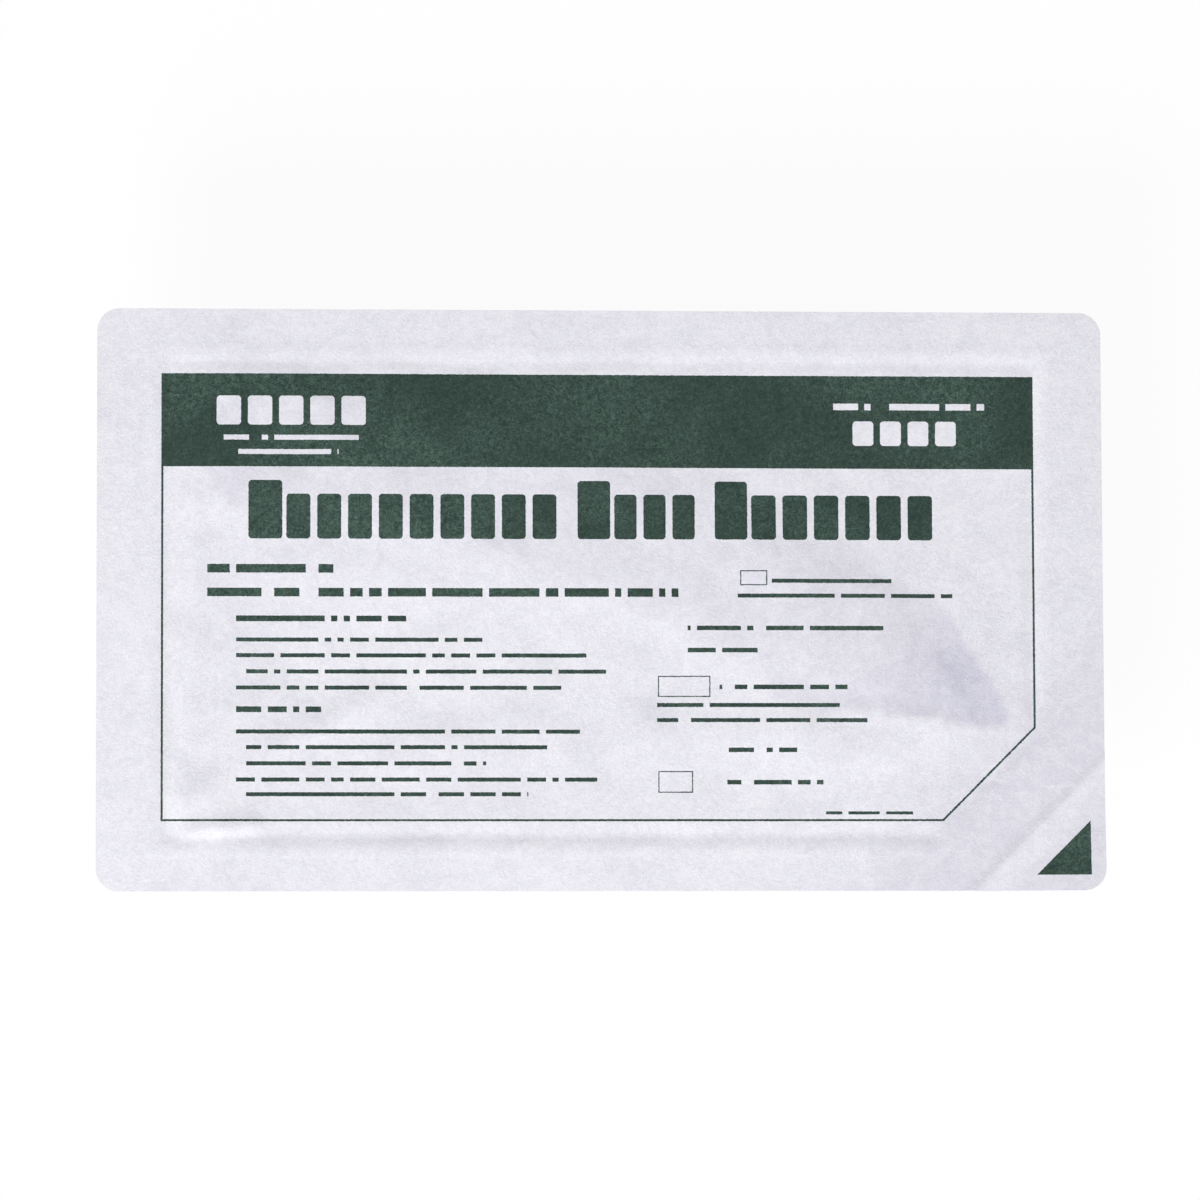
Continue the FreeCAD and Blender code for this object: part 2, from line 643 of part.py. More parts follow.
def handle_recess():
    """Shallow recess in the side of the handle, around a row of raised grip ribs."""
    edge = inset(shell_profile(), PANEL_MARGIN)
    places = [V(x, y, 0) for x, y, _ in edge]
    start = V(PIVOT.x - PANEL_BEHIND_PIVOT, PIVOT.y, 0)
    foot = meeting(start, HEAD_UP, places[7], places[8])
    top = meeting(start, HEAD_UP, places[1], places[2])
    corners = [(top.x, top.y, PANEL_CORNER_R)] + edge[2:8] + [(foot.x, foot.y, PANEL_CORNER_R)]
    low = HALF_THICKNESS - PANEL_DEPTH
    recess = slab(corners, low, HALF_THICKNESS + 1)
    x, y = handle(GRIP_START)
    step = (places[2] - places[3]).normalize() * GRIP_RIB_PITCH
    long = HEAD_UP * (GRIP_RIB_LENGTH / 2)
    wide = HEAD_FRONT * (GRIP_RIB_WIDTH / 2)
    for index in range(GRIP_RIB_COUNT):
        middle = V(x, y, 0) + step * index
        spots = (middle - long - wide, middle - long + wide, middle + long + wide,
                 middle + long - wide)
        recess = recess.cut(slab([(spot.x, spot.y, 0) for spot in spots], low - 1, PAST))
    return recess


def build_shell():
    """Both shells as one closed body, before they are parted along the middle."""
    profile = shell_profile()
    body = rounded_slab(profile, HALF_THICKNESS, SHELL_EDGE_R, SHELL_EDGE_FLAT_COUNT)
    body = body.cut(head_block(-PAST, 0, -PAST, PAST, -PAST, PAST))
    for wedge in nose_wedges(HALF_THICKNESS):
        body = body.cut(wedge)
    hollow = slab(inset(profile, SHELL_WALL), -INNER_HALF, INNER_HALF)
    for wedge in nose_wedges(INNER_HALF):
        hollow = hollow.cut(wedge)
    body = body.cut(hollow).cut(trigger_opening())
    for recess in both_sides(handle_recess()):
        body = body.cut(recess)

    room = slab(inset(profile, SHELL_WALL / 2), -INNER_HALF - RIB_ROOT, INNER_HALF + RIB_ROOT)
    for wedge in nose_wedges(INNER_HALF + RIB_ROOT):
        room = room.cut(wedge)
    inside = joined(shell_ribs()).common(room)
    body = joined([body, inside])

    beside = MAGAZINE_HALF_WIDTH + FIT_GAP
    slots = [magazine_block(-NOSE_FLAT - 1, WINDOW_BACK, -2, SLOT_TOP, -beside, beside),
             nose_plate_room(),
             upright_cylinder(PIVOT, PIVOT_PIN_R + PIN_FIT, -PIN_HALF_LENGTH, PIN_HALF_LENGTH)]
    for window in both_sides(staple_window()):
        slots.append(window)
    for slot in slots:
        body = body.cut(slot)
    return body


def staple_window():
    """Slot through the shell's side beside the front of the magazine, to see the staples left."""
    low, high = WINDOW_LOW, WINDOW_HIGH
    r = (high - low) / 2 - WINDOW_END_FLAT
    ends = ((WINDOW_FRONT, low), (WINDOW_BACK, low), (WINDOW_BACK, high), (WINDOW_FRONT, high))
    corners = [(magazine(s, t, MAGAZINE_HALF_WIDTH + MOVING_GAP), r) for s, t in ends]
    return prism(corners, V(0, 0, PAST))


def nose_plate_room():
    """Space the nose plate and the staple former take in the shells."""
    half = NOSE_PLATE_HALF + FIT_GAP
    return head_block(-2, NOSE_PLATE_HEIGHT + FIT_GAP, MAGAZINE_FRONT, 2, -half, half)


def spring_hanger(length0, length1, width0, width1, half):
    """Rib in the return spring's axes, measured up from its upper seat."""
    places = ((length0, width0), (length1, width0), (length1, width1), (length0, width1))
    corners = [(SPRING_TOP + SPRING_AXIS * u + SPRING_ACROSS * w + V(0, 0, -half), 0)
               for u, w in places]
    return prism(corners, V(0, 0, 2 * half))


def shell_ribs():
    """Ribs, bosses and seats inside the shells, across their full width."""
    across = INNER_HALF + RIB_ROOT
    ribs = both_sides(head_block(GUIDE_LOW, GUIDE_HIGH, MAGAZINE_FRONT - GUIDE_DEPTH,
                                 MAGAZINE_FRONT, FORMER_HALF_WIDTH - GUIDE_REACH, across))
    for x, y in BOSSES:
        ribs.append(upright_prism(V(x, y, 0), BOSS_R, BOSS_SIDE_COUNT, -across, across))

    seat = RETURN_SPRING_OD / 2 + SPRING_SEAT_MARGIN
    ribs.append(spring_hanger(0, SPRING_SEAT_THICKNESS, -seat, seat, BETWEEN_CHEEKS))
    for inner, outer in ((RIB_THICKNESS - seat, -seat), (seat - RIB_THICKNESS, seat)):
        low, high = min(inner, outer), max(inner, outer)
        ribs.append(spring_hanger(0, SPRING_HANGER, low, high, BETWEEN_CHEEKS))
        ribs.append(spring_hanger(SPRING_HANGER_TO_WALL, SPRING_HANGER, low, high, across))
    ribs.append(spring_hanger(0, SPRING_HANGER, -seat, seat, RIB_THICKNESS / 2))
    ribs.append(Part.makeCylinder(SPIGOT_R, SPIGOT_LENGTH + 1,
                                  SPRING_TOP - SPRING_AXIS * SPIGOT_LENGTH, SPRING_AXIS))

    back = MAGAZINE_LENGTH
    front = back - MAGAZINE_HANGER
    foot = TUNNEL_TOP + COVER_THICKNESS
    shoulder = foot + HANGER_SHOULDER
    ribs.append(magazine_block(front, back, foot, shoulder, -BETWEEN_CHEEKS, BETWEEN_CHEEKS))
    ribs.append(magazine_block(front, back, shoulder, shoulder + PAST / 2, -across, across))
    return ribs


def part_shells(body):
    """Left and right shell, with locating pins on the left one that enter sockets in the right."""
    box = body.BoundBox
    lower = Part.makeBox(box.XLength + 2, box.YLength + 2, PAST,
                         V(box.XMin - 1, box.YMin - 1, MID_Z - PAST))
    left = body.common(lower)
    right = body.cut(lower)
    for x, y in BOSSES:
        spot = V(x, y, 0)
        left = left.fuse(upright_prism(spot, LOCATING_PIN_R, LOCATING_PIN_SIDE_COUNT, -2,
                                       LOCATING_PIN_LENGTH))
        right = right.cut(upright_prism(spot, LOCATING_PIN_R + FIT_GAP / PIN_FLAT_SHARE,
                                        LOCATING_PIN_SIDE_COUNT, -1,
                                        LOCATING_PIN_LENGTH + SOCKET_SPARE_DEPTH))
    return left.removeSplitter(), right


def trigger_finger_edge():
    """Corners of the trigger's finger side, front to tip."""
    corners = [(PIVOT.x - back, PIVOT.y - below, r) for back, below, r in FINGER_SIDE]
    tip = PIVOT.x - TRIGGER_REACH
    top = PIVOT.y - TRIGGER_TOP_DROP
    corners.append((tip + TRIGGER_TIP_LENGTH, top - TRIGGER_DEPTH, TRIGGER_HEEL_R))
    corners.append((tip, top - TRIGGER_TIP_DROP, TRIGGER_TIP_R))
    return corners


def trigger_upper_edge():
    """Corners of the trigger's open side, tip to front."""
    x, y = PIVOT.x, PIVOT.y
    bar = CROSS_BAR
    past = CROSS_BAR_R + TRIGGER_WALL
    crown = BAR_HOUSING_CROWN * past
    return [(x - TRIGGER_REACH + TRIGGER_TIP_RAKE, y - TRIGGER_TOP_DROP, TRIGGER_TIP_R),
            (bar.x - BAR_HOUSING_RAMP * past, y - HUB_R * TRIGGER_HUB_DIP, BAR_HOUSING_RAMP_R),
            (bar.x - crown, bar.y + crown, BAR_HOUSING_CROWN_R),
            (x - TRIGGER_NECK_BACK, y + HUB_R - TRIGGER_NECK_DROP, TRIGGER_NECK_R),
            (x + TRIGGER_NOSE_FRONT, y - TRIGGER_NOSE_DROP, TRIGGER_NECK_R)]


def finger_ribs(start, end):
    """Row of low ribs across the trigger, along the straight stretch that the fingers pull."""
    stretch = V(end[0] - start[0], end[1] - start[1], 0)
    room = stretch.Length - FINGER_RIB_START - FINGER_RIB_END_MARGIN
    along = stretch.normalize()
    outward = V(-along.y, along.x, 0)
    half = TRIGGER_HALF_WIDTH - FINGER_RIB_SIDE_MARGIN
    ribs = []
    for index in range(1 + int(room / FINGER_RIB_PITCH)):
        reach = FINGER_RIB_START + index * FINGER_RIB_PITCH
        places = ((reach, -TRIGGER_WEB / 2), (reach + FINGER_RIB_WIDTH, -TRIGGER_WEB / 2),
                  (reach + FINGER_RIB_WIDTH, FINGER_RIB_HEIGHT), (reach, FINGER_RIB_HEIGHT))
        corners = [(start[0] + along.x * u + outward.x * w, start[1] + along.y * u + outward.y * w, 0)
                   for u, w in places]
        ribs.append(slab(corners, -half, half))
    return ribs


def build_trigger():
    """Channel-shaped trigger with its two hubs, cross bar, stiffening ribs and spring cup."""
    finger = trigger_finger_edge()
    upper = trigger_upper_edge()
    body = slab(finger + upper, -TRIGGER_HALF_WIDTH, TRIGGER_HALF_WIDTH)
    inner = inset(finger + upper, TRIGGER_WEB)[:len(finger)]
    inner[0] = (finger[0][0] + TRIGGER_MOUTH, inner[0][1] + TRIGGER_WEB, 0)
    inner[-1] = (inner[-1][0], inner[-1][1], TRIGGER_MOUTH_R)
    above = PIVOT.y + PAST
    raised = [(inner[-1][0], above, 0), (finger[0][0] + TRIGGER_MOUTH, above, 0)]
    channel = slab(inner + raised, -CHEEK_INNER, CHEEK_INNER)
    solids = [body.cut(channel)]
    solids += both_sides(upright_cylinder(PIVOT, HUB_R, CHEEK_INNER, TRIGGER_HALF_WIDTH))
    solids.append(upright_cylinder(CROSS_BAR, CROSS_BAR_R, -CHEEK_INNER, CHEEK_INNER))
    for index in range(TRIGGER_RIB_COUNT):
        x = PIVOT.x - TRIGGER_REACH + (index + 1) * TRIGGER_RIB_PITCH
        low = PIVOT.y - TRIGGER_TOP_DROP - TRIGGER_DEPTH
        high = low + TRIGGER_WEB + TRIGGER_RIB_HEIGHT
        rib = slab([(x, low, 0), (x + RIB_THICKNESS, low, 0), (x + RIB_THICKNESS, high, 0),
                    (x, high, 0)], -CHEEK_INNER, CHEEK_INNER)
        solids.append(rib.common(channel))
    solids += finger_ribs(finger[3], finger[4])
    cup = Part.makeCylinder(RETURN_SPRING_OD / 2 + SPRING_CUP_WALL, SPRING_CUP_DEPTH,
                            SPRING_FOOT - SPRING_AXIS * SPRING_CUP_DEPTH, SPRING_AXIS)
    solids.append(cup.common(slab(finger + upper, -CHEEK_INNER, CHEEK_INNER)))
    solids.append(Part.makeCylinder(SPIGOT_R, SPIGOT_LENGTH + 2, SPRING_FOOT - SPRING_AXIS * 2,
                                    SPRING_AXIS))
    return joined(solids).cut(upright_cylinder(PIVOT, PIVOT_PIN_R + PIVOT_RUNNING_GAP, -PAST, PAST))


def build_trigger_pin():
    """Steel pin across both shells."""
    pin = upright_cylinder(PIVOT, PIVOT_PIN_R, -PIN_HALF_LENGTH, PIN_HALF_LENGTH)
    return pin.makeChamfer(PIN_CHAMFER, [e for e in pin.Edges if len(e.Vertexes) == 1])


def build_drive_arm():
    """Bell crank on the trigger pin: a ring round the trigger's cross bar and a tip in the former."""
    half = ARM_HALF_WIDTH
    tip = PIVOT + (HEAD_FRONT * math.cos(HALF_SQUEEZE) + HEAD_UP * math.sin(HALF_SQUEEZE)) \
        * DRIVE_ARM_LENGTH
    solids = [upright_cylinder(PIVOT, ARM_HUB_R, -half, half),
              upright_cylinder(tip, ARM_TIP_R, -half, half),
              upright_cylinder(CROSS_BAR, ARM_HUB_R, -half, half),
              link(PIVOT, tip, ARM_HUB_R - ARM_SHOULDER, ARM_TIP_R - ARM_TIP_SHOULDER, half),
              link(CROSS_BAR, PIVOT, ARM_HUB_R - ARM_BAR_SHOULDER, ARM_HUB_R - ARM_BAR_SHOULDER,
                   half)]
    arm = joined(solids)
    reach = -NOSE_PLATE_THICKNESS - ARM_TIP_TRIM - PIVOT_B
    swing = upright_cylinder(PIVOT, reach, -half, half)
    beside = upright_cylinder(CROSS_BAR, ARM_TAIL, -half, half)
    arm = arm.common(joined([swing, beside]))
    arm = arm.cut(upright_cylinder(PIVOT, PIVOT_PIN_R + PIVOT_RUNNING_GAP, -half, half))
    return arm.cut(upright_cylinder(CROSS_BAR, CROSS_BAR_R + FIT_GAP, -half, half))


def link(start, end, start_half, end_half, half):
    """Flat bar between two points of the profile, of a half width at each end."""
    along = V(end.x - start.x, end.y - start.y, 0).normalize()
    across = V(-along.y, along.x, 0)
    ends = ((start, start_half), (end, end_half), (end, -end_half), (start, -start_half))
    corners = [(V(p.x, p.y, MID_Z - half) + across * w, 0) for p, w in ends]
    return prism(corners, V(0, 0, 2 * half))


def mitred_wire(path, radius, sides, lead):
    """Wire along short straight stretches of a path, mitred where they meet."""
    travel = (path[1] - path[0]).normalize()
    across = lead.cross(travel).normalize()
    other = travel.cross(across)
    ring = []
    for k in range(sides):
        turn = 2 * math.pi * (k + 0.5) / sides
        ring.append(path[0] + across * (radius * math.cos(turn)) + other * (radius * math.sin(turn)))
    faces = [Part.Face(Part.makePolygon(ring + ring[:1]))]
    for i in range(1, len(path)):
        travel = (path[i] - path[i - 1]).normalize()
        plane = V(travel)
        if i + 1 < len(path):
            plane = travel + (path[i + 1] - path[i]).normalize()
        following = [p + travel * ((path[i] - p).dot(plane) / travel.dot(plane)) for p in ring]
        for k in range(sides):
            n = (k + 1) % sides
            quad = [ring[k], ring[n], following[n], following[k], ring[k]]
            faces.append(Part.Face(Part.makePolygon(quad)))
        ring = following
    faces.append(Part.Face(Part.makePolygon(ring + ring[:1])))
    return Part.makeSolid(Part.makeShell(faces))


def coil_spring(start, axis, length, outer, wire, turns, steps, sides):
    """Compression spring with closed ends, from the middle of its first seat."""
    radius = (outer - wire) / 2
    side = axis.cross(UPRIGHT).normalize()
    other = axis.cross(side)
    closed = wire * CLOSED_TURN_RISE
    open_pitch = (length - wire - 2 * closed) / (turns - 2)
    path = []
    for i in range(turns * steps + 1):
        turn = i / steps
        rise = closed * min(turn, 1) + open_pitch * min(max(turn - 1, 0), turns - 2)
        rise += closed * max(turn - turns + 1, 0)
        angle = 2 * math.pi * turn
        path.append(start + axis * (wire / 2 + rise) + side * (radius * math.cos(angle))
                    + other * (radius * math.sin(angle)))
    return mitred_wire(path, wire / 2, sides, axis)


def open_staple(index, bend, sides):
    """Open staple of the stack; number 0 stands under the former."""
    shift = BACKWARD * (STAPLE_PITCH * index)
    half = CROWN / 2
    tip = LEG_TIP_RECESS
    bends = [(CROWN_A - bend, -half), (CROWN_A, -half + bend), (CROWN_A, half - bend),
             (CROWN_A - bend, half)]
    if bend == 0:
        bends = bends[1:3]
    path = [head(a, STAPLE_B, z) + shift for a, z in [(tip, -half)] + bends + [(tip, half)]]
    return mitred_wire(path, WIRE / 2, sides, HEAD_FRONT)


def build_return_spring():
    """Spring between the trigger's cup and the seat in the shells."""
    return coil_spring(SPRING_FOOT, SPRING_AXIS, RETURN_SPRING_LENGTH, RETURN_SPRING_OD,
                       RETURN_SPRING_WIRE, RETURN_SPRING_TURNS, RETURN_COIL_STEP_COUNT,
                       RETURN_COIL_SIDE_COUNT)


def build_follower_spring():
    """Thin spring in the cover's tunnel, between the follower's hump and the end wall."""
    start = magazine(FOLLOWER_BACK, COVER_UNDER + FOLLOWER_SPRING_OD / 2 + TUNNEL_GAP / 2)
    return coil_spring(start, BACKWARD, MAGAZINE_LENGTH - END_WALL - FOLLOWER_BACK,
                       FOLLOWER_SPRING_OD, FOLLOWER_SPRING_WIRE, FOLLOWER_SPRING_TURNS,
                       FOLLOWER_COIL_STEP_COUNT, FOLLOWER_COIL_SIDE_COUNT)


def behind(b):
    """Everything behind a plane parallel to the front face."""
    return head_block(-PAST, HEAD_HEIGHT + PAST, b - MAGAZINE_LENGTH - PAST, b, -PAST, PAST)


def build_former():
    """Plate that slides down behind the nose plate and folds a staple round the anvil."""
    half = FORMER_HALF_WIDTH
    notch = CLOSED_WIDTH / 2 + NOTCH_CLEARANCE
    notch_top = FORMER_FOOT + FORMER_STROKE + FORMER_NOTCH_SPARE
    foot = FORMER_FOOT
    r = FORMER_CORNER_R
    corners = [(foot, -half, 0), (foot, -notch, 0), (notch_top, -notch, NOTCH_CORNER_R),
               (notch_top, notch, NOTCH_CORNER_R), (foot, notch, 0), (foot, half, 0),
               (FORMER_TOP, half, r), (FORMER_TOP, -half, r)]
    plate = head_plate(corners, FORMER_BACK, FORMER_BACK + FORMER_THICKNESS)
    reach = ARM_TIP_R + FORMER_SIDE_GAP
    side = ARM_HALF_WIDTH + ARM_TIP_SIDE_GAP
    window = head_block(FORMER_WINDOW_A - reach, FORMER_WINDOW_A + reach, FORMER_BACK - 1, 0,
                        -side, side)
    low, wide = FORMER_RELIEF_LOW, FORMER_RELIEF_HALF_WIDTH
    high = FORMER_WINDOW_A - reach - FORMER_RELIEF_BRIDGE
    relief = head_plate([(low, -wide, r), (high, -wide, r), (high, wide, r), (low, wide, r)],
                        FORMER_BACK - 1, 0)
    return plate.cut(window).cut(relief)


def build_nose_plate():
    """Channel in the front of the head: staples leave through the notch at its foot."""
    half = NOSE_PLATE_HALF
    notch = NOSE_NOTCH_HALF_WIDTH
    top = NOSE_PLATE_HEIGHT
    notch_top = CROWN_A + WIRE / 2 + NOSE_NOTCH_CLEARANCE
    r = NOTCH_CORNER_R
    foot_r, top_r = NOSE_PLATE_FOOT_R, NOSE_PLATE_TOP_R
    corners = [(0, -half, foot_r), (0, -notch, 0), (notch_top, -notch, r), (notch_top, notch, r),
               (0, notch, 0), (0, half, foot_r), (top, half, top_r), (top, -half, top_r)]
    plate = head_plate(corners, -NOSE_PLATE_THICKNESS, 0)
    inner = FORMER_HALF_WIDTH + FORMER_SIDE_GAP
    back = MAGAZINE_FRONT + NOSE_FLANGE_GAP
    flanges = both_sides(head_block(NOSE_FLANGE_LOW, top - NOSE_FLANGE_SHORT, back,
                                    -NOSE_PLATE_THICKNESS, inner, half))
    return joined([plate] + flanges)


def build_anvil_track():
    """Rail the open staples ride on, ending in the anvil tongue under the ready staple's crown."""
    low = TRACK_TOP - TRACK_THICKNESS
    half = TRACK_HALF_WIDTH
    back = MAGAZINE_LENGTH - END_WALL - 1
    rail = magazine_block(-RAIL_OVERRUN, back, low, TRACK_TOP, -half, half)
    rail = rail.common(behind(MAGAZINE_FRONT))
    tongue_tip = FORMER_BACK + FORMER_THICKNESS
    tongue = magazine_block(-MAGAZINE_OVERRUN, TONGUE_ROOT, low, TRACK_TOP, -ANVIL_HALF_WIDTH,
                            ANVIL_HALF_WIDTH)
    return joined([rail, tongue.common(behind(tongue_tip))])


def build_cartridge_body():
    """Open trough that carries the rail, with a high end wall that the follower's spring rests on."""
    half = MAGAZINE_HALF_WIDTH
    wall = half - MAGAZINE_SIDE_WALL
    top = COVER_UNDER + COVER_THICKNESS
    low = TRACK_TOP - TRACK_THICKNESS
    front = -MAGAZINE_OVERRUN
    back = MAGAZINE_LENGTH
    rest = TRACK_HALF_WIDTH - TRACK_REST_INSET
    solids = [magazine_block(front, back, 0, MAGAZINE_FLOOR, -half, half),
              magazine_block(front, back, 0, low, -rest, rest),
              magazine_block(back - END_WALL, back, 0, top, -half, half),
              magazine_block(back - END_WALL, back, top, TUNNEL_TOP + COVER_THICKNESS,
                             -TUNNEL_HALF_WIDTH - COVER_THICKNESS,
                             TUNNEL_HALF_WIDTH + COVER_THICKNESS)]
    solids += both_sides(magazine_block(front, back, 0, top, wall, half))
    body = joined(solids).common(behind(MAGAZINE_FRONT))
    groove_half = LEAF_HALF + LEAF_SIDE_GAP
    groove = magazine_block(front, LEAF_LENGTH + 1, low - LEAF_ROOM, low, -groove_half, groove_half)
    return body.cut(groove)


def build_ejector_spring():
    """Leaf under the rail whose lifted front end pushes a closed staple off the anvil."""
    low = TRACK_TOP - TRACK_THICKNESS - LEAF_ROOM + FIT_GAP
    top = low + LEAF_THICKNESS
    tip = LEAF_BEND / 2
    places = ((LEAF_LENGTH, low), (LEAF_LENGTH, top), (LEAF_BEND, top), (tip, top + LEAF_LIFT),
              (tip - LEAF_THICKNESS, low + LEAF_LIFT), (LEAF_BEND, low))
    leaf = prism([(magazine(s, t, -LEAF_HALF), 0) for s, t in places], V(0, 0, 2 * LEAF_HALF))
    return leaf.common(behind(MAGAZINE_FRONT - LEAF_SIDE_GAP))


def build_cartridge_cover():
    """Clear cover over the staples with a raised tunnel for the follower's spring."""
    low = COVER_UNDER
    half = MAGAZINE_HALF_WIDTH - MAGAZINE_SIDE_WALL
    tunnel = TUNNEL_HALF_WIDTH
    skin = COVER_THICKNESS
    section = [(-half, low, 0), (-tunnel, low, 0), (-tunnel, TUNNEL_TOP, 0),
               (tunnel, TUNNEL_TOP, 0), (tunnel, low, 0), (half, low, 0), (half, low + skin, 0),
               (tunnel + skin, low + skin, 0), (tunnel + skin, TUNNEL_TOP + skin, TUNNEL_CORNER_R),
               (-tunnel - skin, TUNNEL_TOP + skin, TUNNEL_CORNER_R), (-tunnel - skin, low + skin, 0),
               (-half, low + skin, 0)]
    back = MAGAZINE_LENGTH - END_WALL
    cover = magazine_bar(section, COVER_PLAIN_FRONT, back)
    plain = magazine_block(-MAGAZINE_OVERRUN, COVER_PLAIN_FRONT, low, low + skin, -half, half)
    return joined([cover, plain]).common(behind(MAGAZINE_FRONT))


def build_follower():
    """Saddle on the rail that pushes the staples forward, with a hump for its spring."""
    inner = (CROWN - WIRE) / 2
    outer = (CROWN + WIRE) / 2
    top = COVER_UNDER - FOLLOWER_TOP_GAP
    hump = TUNNEL_HALF_WIDTH - HUMP_GAP
    back = FOLLOWER_BACK
    front = back - FOLLOWER_SADDLE
    solids = [magazine_block(front, back, TRACK_TOP + FIT_GAP, top, -outer, outer)]
    low = MAGAZINE_FLOOR + FOLLOWER_FLOOR_GAP
    solids += both_sides(magazine_block(front, back, low, top, inner, outer))
    solids.append(magazine_block(back - FOLLOWER_HUMP, back, top, TUNNEL_TOP - HUMP_GAP, -hump,
                                 hump))
    stack_end = STAPLE_B - (STAPLE_COUNT - 1) * (WIRE + STAPLE_GAP) - WIRE / 2 - STAPLE_GAP
    return joined(solids).common(behind(stack_end))


def build_parts():
    """Every node of the assembly, by name."""
    panel, peel_corner, sealed_corner = build_lid()
    shell_left, shell_right = part_shells(build_shell())
    strip = [open_staple(index, 0, STACK_STAPLE_SIDES) for index in range(1, STAPLE_COUNT)]
    return {
        "blister_tray": build_blister_tray(),
        "lid_panel": panel,
        "lid_peel_corner": peel_corner,
        "lid_sealed_corner": sealed_corner,
        "shell_left": shell_left,
        "shell_right": shell_right,
        "trigger": build_trigger(),
        "trigger_pin": build_trigger_pin(),
        "drive_arm": build_drive_arm(),
        "return_spring": build_return_spring(),
        "staple_former": build_former(),
        "nose_plate": build_nose_plate(),
        "anvil_track": build_anvil_track(),
        "cartridge_body": build_cartridge_body(),
        "cartridge_cover": build_cartridge_cover(),
        "ejector_spring": build_ejector_spring(),
        "follower": build_follower(),
        "follower_spring": build_follower_spring(),
        "ready_staple": open_staple(0, STAPLE_BEND_R, STAPLE_SIDES),
        "staple_strip": Part.makeCompound(strip),
    }


os.makedirs("parts", exist_ok=True)
for name, shape in build_parts().items():
    shape.exportStep("parts/" + name + ".step")
    print(name, len(shape.Solids), "solids, volume", round(shape.Volume, 1))
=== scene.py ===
"""Finish of a skin stapler in its sealed peel pack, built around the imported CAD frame.

The printed lid is a draped sheet over the tray and the stapler, and everything else is a finished
copy of its CAD node. Sizes in the settings are in metres where they have a unit. The lid and its
print are laid out in millimetres from the middle of the pack.
"""

import json
import math

import bmesh
import bpy
import numpy as np
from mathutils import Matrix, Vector
from mathutils.bvhtree import BVHTree


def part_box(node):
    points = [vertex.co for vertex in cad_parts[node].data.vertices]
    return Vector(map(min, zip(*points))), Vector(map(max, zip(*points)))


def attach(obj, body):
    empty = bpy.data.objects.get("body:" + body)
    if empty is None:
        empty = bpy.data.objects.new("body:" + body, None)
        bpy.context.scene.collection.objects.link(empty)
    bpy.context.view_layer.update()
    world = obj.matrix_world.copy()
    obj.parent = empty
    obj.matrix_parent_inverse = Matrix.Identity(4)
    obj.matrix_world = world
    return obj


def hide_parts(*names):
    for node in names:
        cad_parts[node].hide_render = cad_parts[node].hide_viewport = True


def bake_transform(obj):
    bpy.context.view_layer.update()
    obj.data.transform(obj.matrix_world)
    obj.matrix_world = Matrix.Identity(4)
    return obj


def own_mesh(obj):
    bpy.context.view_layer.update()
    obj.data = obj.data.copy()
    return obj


bl_info = {
    "name": "Skin stapler in its peel pack",
    "version": (1, 0, 0),
    "blender": (4, 5, 0),
    "location": "3D View > Sidebar > Peel pack",
    "description": "Finishes the parts of a skin stapler and of the peel pack that holds it",
    "category": "Object",
}

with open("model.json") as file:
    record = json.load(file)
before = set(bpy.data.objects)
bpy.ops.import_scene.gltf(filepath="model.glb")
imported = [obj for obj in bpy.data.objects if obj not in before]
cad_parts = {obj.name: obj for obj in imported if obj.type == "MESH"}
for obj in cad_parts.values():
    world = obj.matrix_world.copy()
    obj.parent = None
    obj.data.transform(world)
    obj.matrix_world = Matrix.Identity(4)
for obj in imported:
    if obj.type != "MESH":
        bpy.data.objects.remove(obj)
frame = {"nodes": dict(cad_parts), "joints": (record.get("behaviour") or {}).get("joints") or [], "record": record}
NODES = frame["nodes"]
BODY_OF = {node: body for body, nodes in frame["record"]["behaviour"]["bodies"].items()
           for node in nodes}
JOINTS = {joint["name"]: joint for joint in frame["joints"]}
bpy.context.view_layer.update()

MM = 0.001
LID_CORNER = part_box("lid_panel")[1]
HALF_X = LID_CORNER.x / MM
HALF_Y = LID_CORNER.y / MM
FLANGE_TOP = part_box("blister_tray")[1].z / MM
STAPLER_NODES = ("shell_left", "shell_right", "trigger")
HEAD_NODES = ("shell_left", "shell_right", "nose_plate", "cartridge_body", "anvil_track")

# Lid and mouth of the tray, in millimetres
SHEET_CORNER_R = 4.5
PEEL_LEG, SEALED_LEG = 26.0, 30.0
END_FLANGE, SIDE_FLANGE = 12.0, 9.0
MOUTH_HALF_X, MOUTH_HALF_Y = HALF_X - END_FLANGE, HALF_Y - SIDE_FLANGE
MOUTH_CHAMFER = 21.0
SHEET_GRID = 1.6
DEEPEST_SAG = 1.9
SHEET_SHARP_ANGLE = math.radians(50)

# Distance past the sealed fold and past the peel fold of a second point on each fold's line, in metres
SEALED_BEND, PEEL_BEND = 0.010, 0.008

# Rays that feel the solids from above, in metres, and the height in millimetres where they miss
RAY_START = 0.1
NO_HEIGHT = -100.0

# Painted shade for the sheet's colour over the stapler and at the loose corner, and its changes: how much, and the
# two distances in millimetres that each comes in over
HEAD_SHADE = 0.74
FACE_FADE = (0.26, 5.0, 19.0)
BODY_FADE = (0.2, 35.0, 80.0)
TOP_FADE = (0.6, 15.0, 30.0)
HANDLE_SHADE = (0.28, 92.0, 110.0)
SEAL_SHADE = 0.2
CREASE_SHADE = (0.14, -0.8, 1.4)
SEAL_FADE = (0.34, 8.0, 26.0)

